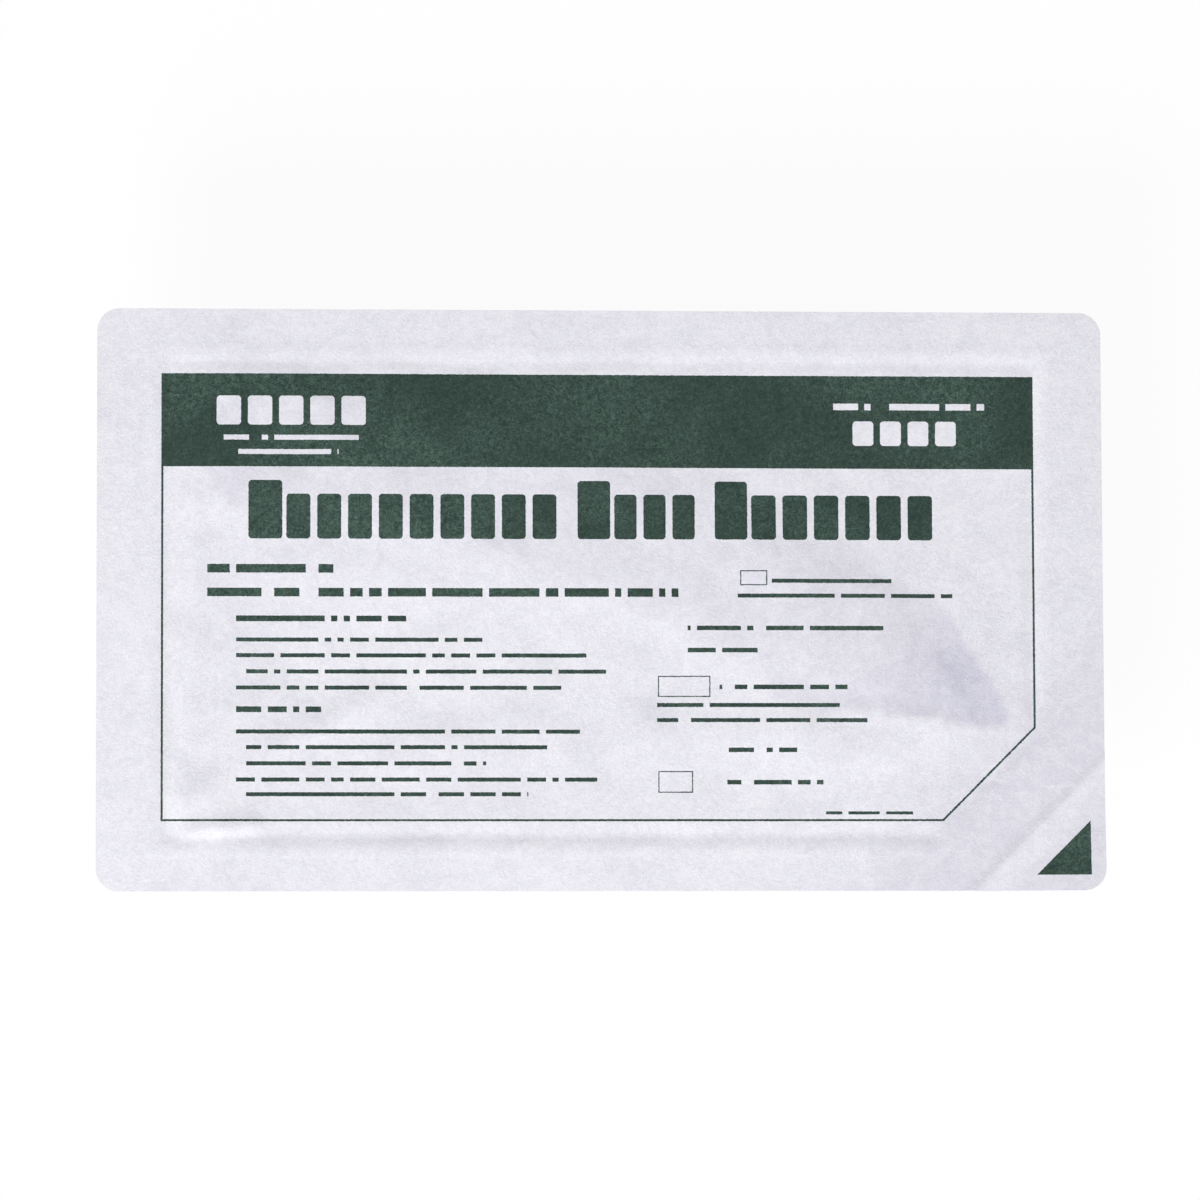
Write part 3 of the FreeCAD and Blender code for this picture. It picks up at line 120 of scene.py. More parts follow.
# Relief of the sheet, in millimetres: a height and the two distances that it comes in over, or the
# distances alone
INSIDE_MOUTH = (0.2, 3.0)
RIM_DIP = (0.18, 0.3, 1.8)
RIM_RETURN = (1.8, 5.0)
SEAL_BEAD, SEAL_BEAD_PLACE, SEAL_BEAD_WIDTH = 0.05, 1.2, 0.7
PEEL_LIFT = (1.9, 1.0, 22.0)
CREST, CREST_WIDTH_INSIDE, CREST_WIDTH_ON_CORNER = 0.42, 1.1, 2.6
CREASE_START = (-8.0, -4.0)
WAVE_COUNT, WAVE_SHORTEST, WAVE_LONGEST = 26, 5, 26
WAVE_STEEPNESS, WAVE_ON_FLANGE = 0.0011, 0.25

# Soft folds of the sheet: start, end, half width and height, in millimetres
FOLDS = (
    ((-87, -42), (-44, -19), 3.3, 0.34), ((-84, -47), (-66, -44.5), 2.2, 0.4),
    ((-52, -33), (-8, -27), 5.0, 0.22), ((46, -21.5), (83, -26), 2.2, 0.14),
    ((4, -26), (70, -29), 6.5, 0.36), ((-81, -30), (-80, 22), 2.4, 0.16),
    ((-86, 46.2), (-30, 46.6), 1.4, 0.12), ((-20, 46.6), (84, 46.4), 1.4, 0.12),
    ((66, -44), (86, -24), 2.2, -0.12), ((-70, 8), (-30, 2), 4.0, 0.14),
)

# Print on the lid, in millimetres from the middle of the pack
PRINT_SPAN = 240.0
PRINT_LEFT, PRINT_RIGHT = -87.3, 86.3
PRINT_BOTTOM, PRINT_TOP = -43.95, 44.85
PRINT_CORNER = 111.7
RULE_WIDTH = 0.42
BAND_BOTTOM = 26.3
TRIANGLE_X, TRIANGLE_Y, TRIANGLE_LEG = 97.05, -54.6, 10.8
INK_WANDER = 0.22

# Plain rules of the label: middle height, thickness, left end, right end
LEFT_RULES = (
    (6.1, 1.7, -78.2, -53.3), (1.4, 1.7, -78.2, 15.1), (-3.8, 1.15, -72.5, -38.9),
    (-8.0, 0.8, -72.5, -23.8), (-11.1, 0.8, -72.5, -3.2), (-14.3, 0.8, -70.5, 0.7),
    (-17.5, 0.8, -72.5, -8.2), (-21.8, 1.15, -72.5, -55.7), (-26.2, 0.8, -72.5, -4.5),
    (-29.3, 0.8, -70.5, -11.0), (-32.5, 0.8, -70.5, -23.1), (-35.7, 0.8, -72.5, -1.1),
    (-38.6, 0.8, -70.5, -14.8),
)
RIGHT_RULES = (
    (3.8, 0.8, 33.7, 57.6), (0.85, 0.8, 26.9, 69.8), (-5.6, 0.9, 16.9, 55.9),
    (-10.0, 0.9, 16.9, 30.8), (-17.3, 0.9, 23.2, 48.7), (-20.9, 0.8, 10.8, 47.1),
    (-23.9, 0.8, 10.8, 52.6), (-29.8, 0.9, 24.7, 38.6), (-36.2, 0.9, 24.7, 43.8),
    (-42.3, 0.6, 44.3, 61.6),
)
BAND_RULES = ((32.1, 1.0, -75.3, -48.3), (29.25, 1.0, -72.1, -52.3))
BAND_RIGHT_RULES = ((38.7, 1.3, 44.5, 76.5),)
WORD_CELL, WORD_GAP_SHARE = 1.25, 0.13
ROW_SHUFFLE, ROW_STRIDE = 997.0, 3.7

# Spans that a rule's ends, height and thickness are packed into the ramp's colours with
RULE_SPAN_X, RULE_SPAN_Y, THICKEST_RULE = 240.0, 120.0, 10.0

# Rows of plain blocks in place of large words: left, right, bottom, top, number of blocks
HEADING_ROWS = (
    (-70.1, -63.4, 12.0, 23.6, 1), (-62.6, -9.1, 12.0, 20.9, 9), (-4.9, 1.6, 12.0, 23.6, 1),
    (2.4, 18.4, 12.0, 20.9, 3), (22.4, 28.9, 12.0, 23.6, 1), (29.7, 65.9, 12.0, 20.9, 6),
)
BAND_ROWS = ((-76.4, -46.9, 34.6, 40.4, 5), (50.1, 70.8, 30.9, 35.8, 4))
BLOCK_GAP, BLOCK_CORNER = 1.35, 0.7
LABEL_BOXES = ((11.0, 21.4, -19.3, -15.1), (11.0, 17.9, -38.3, -34.0), (27.4, 32.8, 2.9, 5.9))
BOX_LINE = 0.22

# Mottling of the sheet: noise scale per millimetre, distortion and weight of its strands
STRAND_LAYERS = ((0.42, 2.4, 0.5), (0.95, 3.0, 0.5))
STRAND_SHARPNESS = 13.0

# Gloss and bump of the sheet
SHEET_ROUGHNESS, INK_GLOSS, SHEET_SPECULAR = 0.66, 0.04, 0.2
SHEET_BUMP, SHEET_BUMP_STRENGTH = 0.0001, 0.6

# Finished copies: distance of welded points, the turn that still counts as flat, how far two
# triangles of a coil may differ from a flat square face to be joined, and its smoothing in degrees
WELD_DISTANCE = 1e-6
FLAT_ANGLE = math.radians(1)
QUAD_FACE_ANGLE, QUAD_SHAPE_ANGLE = 0.6, 1.2
COIL_SMOOTH_ANGLE = 70.0

# Stage, in metres and radians
FLOOR_HALF, FLOOR_DROP = 3.0, 0.0002
GROUND_GLOW = 0.94
LAMP_PLACE, LAMP_TARGET, LAMP_SIZE = (-0.76, -1.69, 1.05), (0, 0, 0.02), 0.9
CAMERA_PLACE = (-0.0869, -0.10977, 1.3)
CAMERA_TURN = (0.08589, -0.06739, -0.00355)
CAMERA_NEAR, CAMERA_FAR, CAMERA_SENSOR = 0.01, 20.0, 36.0


def linear(red, green, blue):
    """Linear RGBA of an sRGB colour given from 0 to 255."""
    channels = []
    for value in (red, green, blue):
        share = value / 255
        channels.append(share / 12.92 if share <= 0.04045 else ((share + 0.055) / 1.055) ** 2.4)
    return (*channels, 1.0)


WHITE = (1.0, 1.0, 1.0, 1.0)
CLOUD_COLOUR = linear(214, 213, 222)
STRAND_COLOUR = linear(241, 241, 246)
FLECK_COLOUR = linear(207, 205, 216)
# Grey-violet of the painted shade put in the sheet's colour over the stapler and at the loose corner
PAINTED_SHADE_COLOUR = linear(192, 190, 208)
DEEP_INK_COLOUR = linear(36, 50, 46)


class Socket:
    """Output of a shader node that Python's operators can be used on."""

    def __init__(self, shader, output):
        self.shader = shader
        self.output = output

    def math(self, operation, *values):
        return self.shader.node("ShaderNodeMath", {"operation": operation},
                                dict(enumerate(values)))

    def __add__(self, other):
        return self.math("ADD", self, other)

    def __radd__(self, other):
        return self.math("ADD", other, self)

    def __sub__(self, other):
        return self.math("SUBTRACT", self, other)

    def __rsub__(self, other):
        return self.math("SUBTRACT", other, self)

    def __mul__(self, other):
        return self.math("MULTIPLY", self, other)

    def __rmul__(self, other):
        return self.math("MULTIPLY", other, self)

    def __truediv__(self, other):
        return self.math("DIVIDE", self, other)

    def __gt__(self, other):
        return self.math("GREATER_THAN", self, other)

    def __lt__(self, other):
        return self.math("LESS_THAN", self, other)

    def __abs__(self):
        return self.math("ABSOLUTE", self)

    def least(self, other):
        return self.math("MINIMUM", self, other)

    def most(self, other):
        return self.math("MAXIMUM", self, other)

    def floor(self):
        return self.math("FLOOR", self)

    def fraction(self):
        return self.math("FRACT", self)

    def between(self, low, high):
        """0 below low, 1 above high and a smooth rise between."""
        return self.shader.node("ShaderNodeMapRange", {"interpolation_type": "SMOOTHSTEP"},
                                {"Value": self, "From Min": low, "From Max": high})


class Shader:
    """Node tree of one material."""

    def __init__(self, name):
        self.material = bpy.data.materials.new(name)
        self.material.use_nodes = True
        self.tree = self.material.node_tree
        self.tree.nodes.clear()

    def node(self, kind, settings=None, inputs=None, output=0):
        """A new node: its settings first, then values or links of its sockets."""
        made = self.tree.nodes.new(kind)
        for key, value in (settings or {}).items():
            if key == "stops":
                self.set_stops(made.color_ramp, value)
            else:
                setattr(made, key, value)
        for key, value in (inputs or {}).items():
            if isinstance(value, Socket):
                self.tree.links.new(value.output, made.inputs[key])
            else:
                made.inputs[key].default_value = value
        return Socket(self, made.outputs[output]) if made.outputs else None

    @staticmethod
    def set_stops(ramp, stops):
        ramp.interpolation = "CONSTANT"
        while len(ramp.elements) < len(stops):
            ramp.elements.new(1.0)
        for element, (position, colour) in zip(ramp.elements, stops):
            element.position = position
            element.color = colour

    def split(self, vector):
        made = self.node("ShaderNodeSeparateXYZ", inputs={0: vector}).output.node
        return [Socket(self, made.outputs[i]) for i in range(3)]

    def vector(self, x, y, z=0.0):
        return self.node("ShaderNodeCombineXYZ", inputs={0: x, 1: y, 2: z})

    def noise(self, vector, scale, detail=2.0, distortion=0.0, roughness=0.5):
        return self.node("ShaderNodeTexNoise", inputs={
            "Vector": vector, "Scale": scale, "Detail": detail, "Distortion": distortion,
            "Roughness": roughness})

    def mix(self, factor, first, second):
        """Colour between two colours."""
        return self.node("ShaderNodeMix", {"data_type": "RGBA"}, {0: factor, 6: first, 7: second},
                         output=2)

    def bump(self, height, distance, strength=1.0):
        return self.node("ShaderNodeBump", inputs={"Height": height, "Distance": distance,
                                                   "Strength": strength})

    def surface(self, **values):
        """Principled surface with the given sockets; underscores stand for spaces."""
        named = {name.replace("_", " "): value for name, value in values.items()}
        made = self.node("ShaderNodeBsdfPrincipled", inputs=named)
        self.node("ShaderNodeOutputMaterial", inputs={"Surface": made})
        return self.material


class LidSettings(bpy.types.PropertyGroup):
    """Sheet and print of the lid."""

    thickness: bpy.props.FloatProperty(
        name="Thickness", description="Thickness of the lid's sheet", default=0.00025,
        min=0.0001, unit="LENGTH")
    lift: bpy.props.FloatProperty(
        name="Lift", description="Height of the sheet's underside above the tray's flange",
        default=0.00003, unit="LENGTH")
    cell: bpy.props.FloatProperty(
        name="Cell", description="Spacing of the points that the sheet is built from",
        default=0.0008, min=0.0004, unit="LENGTH")
    load: bpy.props.FloatProperty(
        name="Load", description="Curvature that the sheet sags to where nothing holds it, per mm",
        default=0.002, min=0.0)
    rise: bpy.props.FloatProperty(
        name="Rise", description="How far the stapler pushes the sheet up above the flange, in mm",
        default=0.5, min=0.0)
    sheet_colour: bpy.props.FloatVectorProperty(
        name="Sheet", description="Colour of the spun-bonded sheet", size=4, subtype="COLOR",
        default=linear(229, 228, 235), min=0.0, max=1.0)
    ink_colour: bpy.props.FloatVectorProperty(
        name="Ink", description="Colour of the printed band, rules and triangle", size=4,
        subtype="COLOR", default=linear(36, 54, 48), min=0.0, max=1.0)
    ink_wear_colour: bpy.props.FloatVectorProperty(
        name="Thin ink", description="Colour of the ink where fibres show through", size=4,
        subtype="COLOR", default=linear(94, 120, 109), min=0.0, max=1.0)


class TraySettings(bpy.types.PropertyGroup):
    """Clear formed tray and the clear cover of the magazine."""

    colour: bpy.props.FloatVectorProperty(
        name="Plastic", description="Tint of the clear plastic", size=4, subtype="COLOR",
        default=linear(190, 204, 212), min=0.0, max=1.0)
    opacity: bpy.props.FloatProperty(
        name="Opacity", description="How much of the light the clear plastic stops",
        default=0.13, min=0.0, max=1.0, subtype="FACTOR")


class StaplerSettings(bpy.types.PropertyGroup):
    """Mouldings of the stapler."""

    shell_colour: bpy.props.FloatVectorProperty(
        name="Shells", description="Colour of the two shells", size=4, subtype="COLOR",
        default=linear(224, 224, 219), min=0.0, max=1.0)
    trigger_colour: bpy.props.FloatVectorProperty(
        name="Trigger", description="Colour of the trigger", size=4, subtype="COLOR",
        default=linear(44, 92, 78), min=0.0, max=1.0)
    cartridge_colour: bpy.props.FloatVectorProperty(
        name="Cartridge", description="Colour of the magazine's trough", size=4, subtype="COLOR",
        default=linear(196, 201, 204), min=0.0, max=1.0)
    edge: bpy.props.FloatProperty(
        name="Edge", description="Width of the rounding on moulded edges", default=0.00025,
        min=0.0, unit="LENGTH")


class MetalSettings(bpy.types.PropertyGroup):
    """Steel parts, springs and staples."""

    steel_colour: bpy.props.FloatVectorProperty(
        name="Steel", description="Colour of the stamped steel", size=4, subtype="COLOR",
        default=linear(196, 198, 201), min=0.0, max=1.0)
    wire_colour: bpy.props.FloatVectorProperty(
        name="Wire", description="Colour of the staples' bright wire", size=4, subtype="COLOR",
        default=linear(214, 214, 216), min=0.0, max=1.0)
    edge: bpy.props.FloatProperty(
        name="Edge", description="Width of the broken edges of stamped steel", default=0.0001,
        min=0.0, unit="LENGTH")


class StageSettings(bpy.types.PropertyGroup):
    """Floor, light and camera."""

    floor_colour: bpy.props.FloatVectorProperty(
        name="Floor", description="Colour of the floor", size=4, subtype="COLOR",
        default=(0.9, 0.9, 0.9, 1.0), min=0.0, max=1.0)
    sky: bpy.props.FloatProperty(
        name="Sky", description="Even light from all around", default=0.5, min=0.0)
    key: bpy.props.FloatProperty(
        name="Key", description="Power of the large soft lamp, in watts", default=57.0, min=0.0,
        unit="POWER")
    lens: bpy.props.FloatProperty(
        name="Lens", description="Focal length in millimetres on a 36 mm sensor", default=194.06,
        min=1.0)


def settings(name):
    return getattr(bpy.context.scene, "peel_pack_" + name)


def new_object(name, mesh, body=None):
    """An object of a finished mesh, riding on a body if one is given."""
    obj = bpy.data.objects.new(name, mesh)
    bpy.context.scene.collection.objects.link(obj)
    if body:
        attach(obj, body)
    return obj


def applied(obj):
    """The object with its modifiers turned into its mesh."""
    depsgraph = bpy.context.evaluated_depsgraph_get()
    mesh = bpy.data.meshes.new_from_object(
        obj.evaluated_get(depsgraph), preserve_all_data_layers=True, depsgraph=depsgraph)
    old = obj.data
    obj.modifiers.clear()
    obj.data = mesh
    bpy.data.meshes.remove(old)
    return obj


# Lid
def smooth(value, low, high):
    """0 below low, 1 above high and a smooth rise between."""
    share = np.clip((value - low) / (high - low), 0, 1)
    return share * share * (3 - 2 * share)


def eased(value, change, low, high):
    """A change that comes in smoothly while the value goes from low to high."""
    return change * smooth(value, low, high)


def mouth_depth(x, y):
    """Distance inward from the mouth of the tray, in millimetres; negative on the flange."""
    depth = np.minimum(MOUTH_HALF_X - np.abs(x), MOUTH_HALF_Y - np.abs(y))
    corner = MOUTH_HALF_X + MOUTH_HALF_Y - MOUTH_CHAMFER
    return np.minimum(depth, (corner - (x - y)) / math.sqrt(2))


def upper_side(xs, ys, nodes):
    """Height of some nodes' upper side over a grid, in millimetres; far below where there is none."""
    heights = np.full((len(ys), len(xs)), NO_HEIGHT)
    for node in nodes:
        mesh = NODES[node].data
        tree = BVHTree.FromPolygons([v.co for v in mesh.vertices],
                                    [p.vertices for p in mesh.polygons])
        for row, y in enumerate(ys):
            for column, x in enumerate(xs):
                hit = tree.ray_cast(Vector((x * MM, y * MM, RAY_START)), Vector((0, 0, -1)))[0]
                if hit is not None:
                    heights[row, column] = max(heights[row, column], hit.z / MM)
    return heights


def relaxed_sheet(xs, ys, floor, load, rounds=2600):
    """Height of a taut sheet sealed around the mouth and resting on the stapler."""
    x, y = np.meshgrid(xs, ys)
    free = mouth_depth(x, y) > 0
    sheet = np.zeros_like(x)
    step = xs[1] - xs[0]
    for _ in range(rounds):
        around = (np.roll(sheet, 1, 0) + np.roll(sheet, -1, 0) + np.roll(sheet, 1, 1)
                  + np.roll(sheet, -1, 1)) / 4 - load * step * step / 4
        sheet = np.where(free, np.maximum(around, floor), 0.0)
    return sheet


def painted_head_shade(xs, ys):
    """Painted shade for the sheet's colour over the stapler's shells, strongest along the head's front edge."""
    x, y = np.meshgrid(xs, ys)
    down = Vector(JOINTS["former_slide"]["axis"]).normalized()
    plate = [v.co / MM for v in NODES["nose_plate"].data.vertices]
    nose = max(plate, key=lambda point: point.dot(down))
    front = Vector((-down.y, down.x))
    if front.x < 0:
        front = -front
    behind = -((x - nose.x) * front.x + (y - nose.y) * front.y)
    above = -((x - nose.x) * down.x + (y - nose.y) * down.y)
    shade = HEAD_SHADE - eased(behind, *FACE_FADE) - eased(behind, *BODY_FADE)
    shade *= 1 - eased(above, *TOP_FADE)
    shade += eased(behind, *HANDLE_SHADE)
    return (upper_side(xs, ys, HEAD_NODES) > 0) * shade


def corner_fold(x, y):
    """Distance from the loose corner's crease, in millimetres; negative on the corner itself."""
    return (HALF_X - PEEL_LEG - x + y + HALF_Y) / math.sqrt(2)


def painted_corner_shade(x, y):
    """Painted shade for the sheet's colour on the loose corner and along the panel's side of its crease."""
    fold = corner_fold(x, y)
    return SEAL_SHADE + eased(fold, *CREASE_SHADE) - eased(fold, *SEAL_FADE)


def resampled(values, xs, ys, x, y):
    """Bilinear samples of a grid of values."""
    column = np.clip((x - xs[0]) / (xs[1] - xs[0]), 0, len(xs) - 1.001)
    row = np.clip((y - ys[0]) / (ys[1] - ys[0]), 0, len(ys) - 1.001)
    i, j = row.astype(int), column.astype(int)
    u, v = column - j, row - i
    return ((values[i, j] * (1 - u) + values[i, j + 1] * u) * (1 - v)
            + (values[i + 1, j] * (1 - u) + values[i + 1, j + 1] * u) * v)


def ridge(x, y, start, end, width, height):
    """Long soft fold between two points, fading out at its ends."""
    along = np.array(end) - np.array(start)
    length = math.hypot(*along)
    along = along / length
    t = (x - start[0]) * along[0] + (y - start[1]) * along[1]
    off = -(x - start[0]) * along[1] + (y - start[1]) * along[0]
    fade = smooth(t, -width, width * 1.5) * (1 - smooth(t, length - width * 2, length + width))
    return height * np.exp(-(off / width) ** 2) * fade


def lid_relief(x, y):
    """Small relief on top of the relaxed sheet, in millimetres."""
    depth = mouth_depth(x, y)
    inside = smooth(depth, *INSIDE_MOUTH)
    height = np.zeros_like(x)
    for start, end, width, rise in FOLDS:
        height += ridge(x, y, start, end, width, rise) * inside
    rim = -eased(depth, *RIM_DIP) * (1 - smooth(depth, *RIM_RETURN))
    seal = SEAL_BEAD * np.exp(-((depth + SEAL_BEAD_PLACE) / SEAL_BEAD_WIDTH) ** 2)
    rng = np.random.default_rng(7)
    for _ in range(WAVE_COUNT):
        length = rng.uniform(WAVE_SHORTEST, WAVE_LONGEST)
        angle, phase = rng.uniform(0, math.tau, 2)
        swell = np.sin((x * math.cos(angle) + y * math.sin(angle)) * math.tau / length + phase)
        share = WAVE_ON_FLANGE + (1 - WAVE_ON_FLANGE) * inside
        height += swell * WAVE_STEEPNESS * length * share
    fold = corner_fold(x, y)
    width = np.where(fold > 0, CREST_WIDTH_INSIDE, CREST_WIDTH_ON_CORNER)
    crest = CREST * np.exp(-(fold / width) ** 2)
    corner = smooth(-fold, *CREASE_START) * (eased(-fold, *PEEL_LIFT) + crest)
    return height + rim + seal + corner


def even_grid(half):
    """Even steps across the pack that reach just past both edges, in millimetres."""
    count = math.ceil(half / SHEET_GRID)
    return np.arange(-count, count + 1) * SHEET_GRID


def grid_lines(half, corner, cell):
    """Coordinates across the pack with finer lines in the rounded corners."""
    count = max(4, round(corner / cell) + 1)
    middle = round(2 * (half - corner) / cell)
    ends = np.linspace(half - corner, half, count + 1)[1:]
    return np.concatenate([-ends[::-1], np.linspace(corner - half, half - corner, middle + 1), ends])


def rounded_corners(x, y, radius):
    """Grid points with the square of each corner drawn in to a quarter circle."""
    u = np.clip((np.abs(x) - (HALF_X - radius)) / radius, 0, 1)
    v = np.clip((np.abs(y) - (HALF_Y - radius)) / radius, 0, 1)
    reach = np.maximum(u, v)
    share = np.minimum(u, v) / np.maximum(reach, 1e-9)
    angle = np.where(u >= v, share * math.pi / 4, math.pi / 2 - share * math.pi / 4)
    inside = (u > 0) & (v > 0)
    new_x = np.sign(x) * (HALF_X - radius + reach * radius * np.cos(angle))
    new_y = np.sign(y) * (HALF_Y - radius + reach * radius * np.sin(angle))
    return np.where(inside, new_x, x), np.where(inside, new_y, y)


def lid_surface(lid):
    """Mesh of the lid's upper side with the print's coordinates and the painted shade over the stapler and at the
    loose corner.
    """
    cell = lid.cell / MM
    xs, ys = even_grid(HALF_X), even_grid(HALF_Y)
    floor = upper_side(xs, ys, STAPLER_NODES) - FLANGE_TOP + lid.rise
    sheet = relaxed_sheet(xs, ys, floor, lid.load)
    x, y = np.meshgrid(grid_lines(HALF_X, SHEET_CORNER_R, cell),
                       grid_lines(HALF_Y, SHEET_CORNER_R, cell))
    rows, columns = x.shape
    x, y = rounded_corners(x, y, SHEET_CORNER_R)
    z = resampled(sheet, xs, ys, x, y) + lid_relief(x, y)
    # Painted shade over the stapler and at the loose corner, kept at each point for the sheet's colour
    painted_shade_values = resampled(painted_head_shade(xs, ys), xs, ys, x, y) + painted_corner_shade(x, y)
    z = np.maximum(z, -DEEPEST_SAG) + FLANGE_TOP + (lid.lift + lid.thickness) / MM
    points = np.stack([x, y, z], -1).reshape(-1, 3) * MM
    index = np.arange(rows * columns).reshape(rows, columns)
    faces = np.stack([index[:-1, :-1], index[:-1, 1:], index[1:, 1:], index[1:, :-1]], -1)
    mesh = bpy.data.meshes.new("lid_surface")
    mesh.from_pydata(points.tolist(), [], faces.reshape(-1, 4).tolist())
    layer = mesh.uv_layers.new(name="print")
    loops = np.zeros(len(mesh.loops), int)
    mesh.loops.foreach_get("vertex_index", loops)
    plan = points[loops][:, :2] / MM / PRINT_SPAN + 0.5
    layer.data.foreach_set("uv", plan.astype(np.float32).ravel())
    # The painted shade reaches the sheet's colour through this attribute
    attribute = mesh.attributes.new("contact", "FLOAT", "POINT")
    attribute.data.foreach_set("value", painted_shade_values.astype(np.float32).ravel())
    return mesh


def cut_lid(surface, name, planes):
    """Part of the lid's surface in front of upright planes given by point and direction."""
    mesh = surface.copy()
    mesh.name = name
    cut = bmesh.new()
    cut.from_mesh(mesh)
    for point, direction in planes:
        bmesh.ops.bisect_plane(cut, geom=cut.verts[:] + cut.edges[:] + cut.faces[:],
                               plane_co=point, plane_no=direction, clear_inner=True)
    cut.to_mesh(mesh)
    cut.free()
    mesh.shade_smooth()
    return mesh


def span_share(value, span):
    """Place within a span around zero, from 0 to 1, of a number or a shader's value."""
    return (value + span / 2) / span


def ruled(shader, x, y, rules, seed):
    """Mask of plain rules, broken like words, from (middle, thickness, left, right) rows."""
    rows = sorted(rules)
    stops = []
    for index, (middle, thickness, left, right) in enumerate(rows):
        start = span_share((rows[index - 1][0] + middle) / 2, RULE_SPAN_Y) if index else 0.0
        stops.append((start, (span_share(left, RULE_SPAN_X), span_share(right, RULE_SPAN_X),
                              span_share(middle, RULE_SPAN_Y), thickness / THICKEST_RULE)))
    ramp = shader.node("ShaderNodeValToRGB", {"stops": stops}, {0: span_share(y, RULE_SPAN_Y)})
    left, right, middle = shader.split(ramp)
    thickness = Socket(shader, ramp.output.node.outputs["Alpha"]) * THICKEST_RULE
    along = span_share(x, RULE_SPAN_X)
    off = abs(y - (middle * RULE_SPAN_Y - RULE_SPAN_Y / 2))
    cell = (x / WORD_CELL).floor() + (middle * ROW_SHUFFLE).floor() * ROW_STRIDE + seed
    gaps = shader.node("ShaderNodeTexWhiteNoise", {"noise_dimensions": "1D"}, {"W": cell})
    return (along > left) * (along < right) * (off < thickness / 2.0) * (gaps > WORD_GAP_SHARE)


def boxed(x, y, left, right, low, high):
    """Mask of an upright rectangle."""
    return (x > left) * (x < right) * (y > low) * (y < high)


def block_row(x, y, left, right, low, high, count):
    """Mask of a row of upright blocks with rounded corners."""
    pitch = (right - left + BLOCK_GAP) / count
    across = abs(((x - left) / pitch).fraction() * pitch - (pitch - BLOCK_GAP) / 2)
    upward = abs(y - (low + high) / 2)
    side = (across - ((pitch - BLOCK_GAP) / 2 - BLOCK_CORNER)).most(0.0)
    end = (upward - ((high - low) / 2 - BLOCK_CORNER)).most(0.0)
    return (side * side + end * end < BLOCK_CORNER ** 2) * boxed(x, y, left, right, low, high)


def spun_bond(shader, place):
    """Cloudiness, fibres and flecks of the spun-bonded sheet, each from 0 to 1."""
    cloud = shader.noise(place, 0.035, detail=3.0, distortion=0.6)
    blotch = shader.noise(place, 0.28, detail=4.0, distortion=1.2, roughness=0.65)
    strands = 0.0
    for scale, distortion, weight in STRAND_LAYERS:
        swirl = shader.noise(place, scale, detail=3.0, distortion=distortion, roughness=0.6)
        strands = strands + (1.0 - (abs(swirl - 0.5) * STRAND_SHARPNESS).least(1.0)) * weight
    flecks = shader.noise(place, 1.3, detail=3.0, distortion=1.0, roughness=0.75)
    return cloud, blotch, strands, flecks


def sheet_tone(shader, lid, cloud, blotch, strands, flecks):
    """Mottled colour of the bare sheet."""
    paper = shader.mix(cloud.between(0.3, 0.7) * 0.4 + blotch.between(0.35, 0.68) * 0.6,
                       lid.sheet_colour, CLOUD_COLOUR)
    paper = shader.mix(strands * 0.6, paper, STRAND_COLOUR)
    return shader.mix(flecks.between(0.46, 0.72) * 0.45, paper, FLECK_COLOUR)


def sheet_surface(shader, colour, roughness, height):
    """Matt surface of the sheet with the relief of its fibres."""
    return shader.surface(
        Base_Color=colour, Roughness=roughness, Specular_IOR_Level=SHEET_SPECULAR,
        Normal=shader.bump(height, SHEET_BUMP, SHEET_BUMP_STRENGTH))


def bare_sheet_material(lid):
    """Inner side of the lid, without print."""
    shader = Shader("bare_spun_bond_sheet")
    u, v, _ = shader.split(shader.node("ShaderNodeUVMap", {"uv_map": "print"}))
    place = shader.vector(u * PRINT_SPAN, v * PRINT_SPAN)
    cloud, blotch, strands, flecks = spun_bond(shader, place)
    paper = sheet_tone(shader, lid, cloud, blotch, strands, flecks)
    return sheet_surface(shader, paper, SHEET_ROUGHNESS, strands * 0.5 + flecks * 0.6)


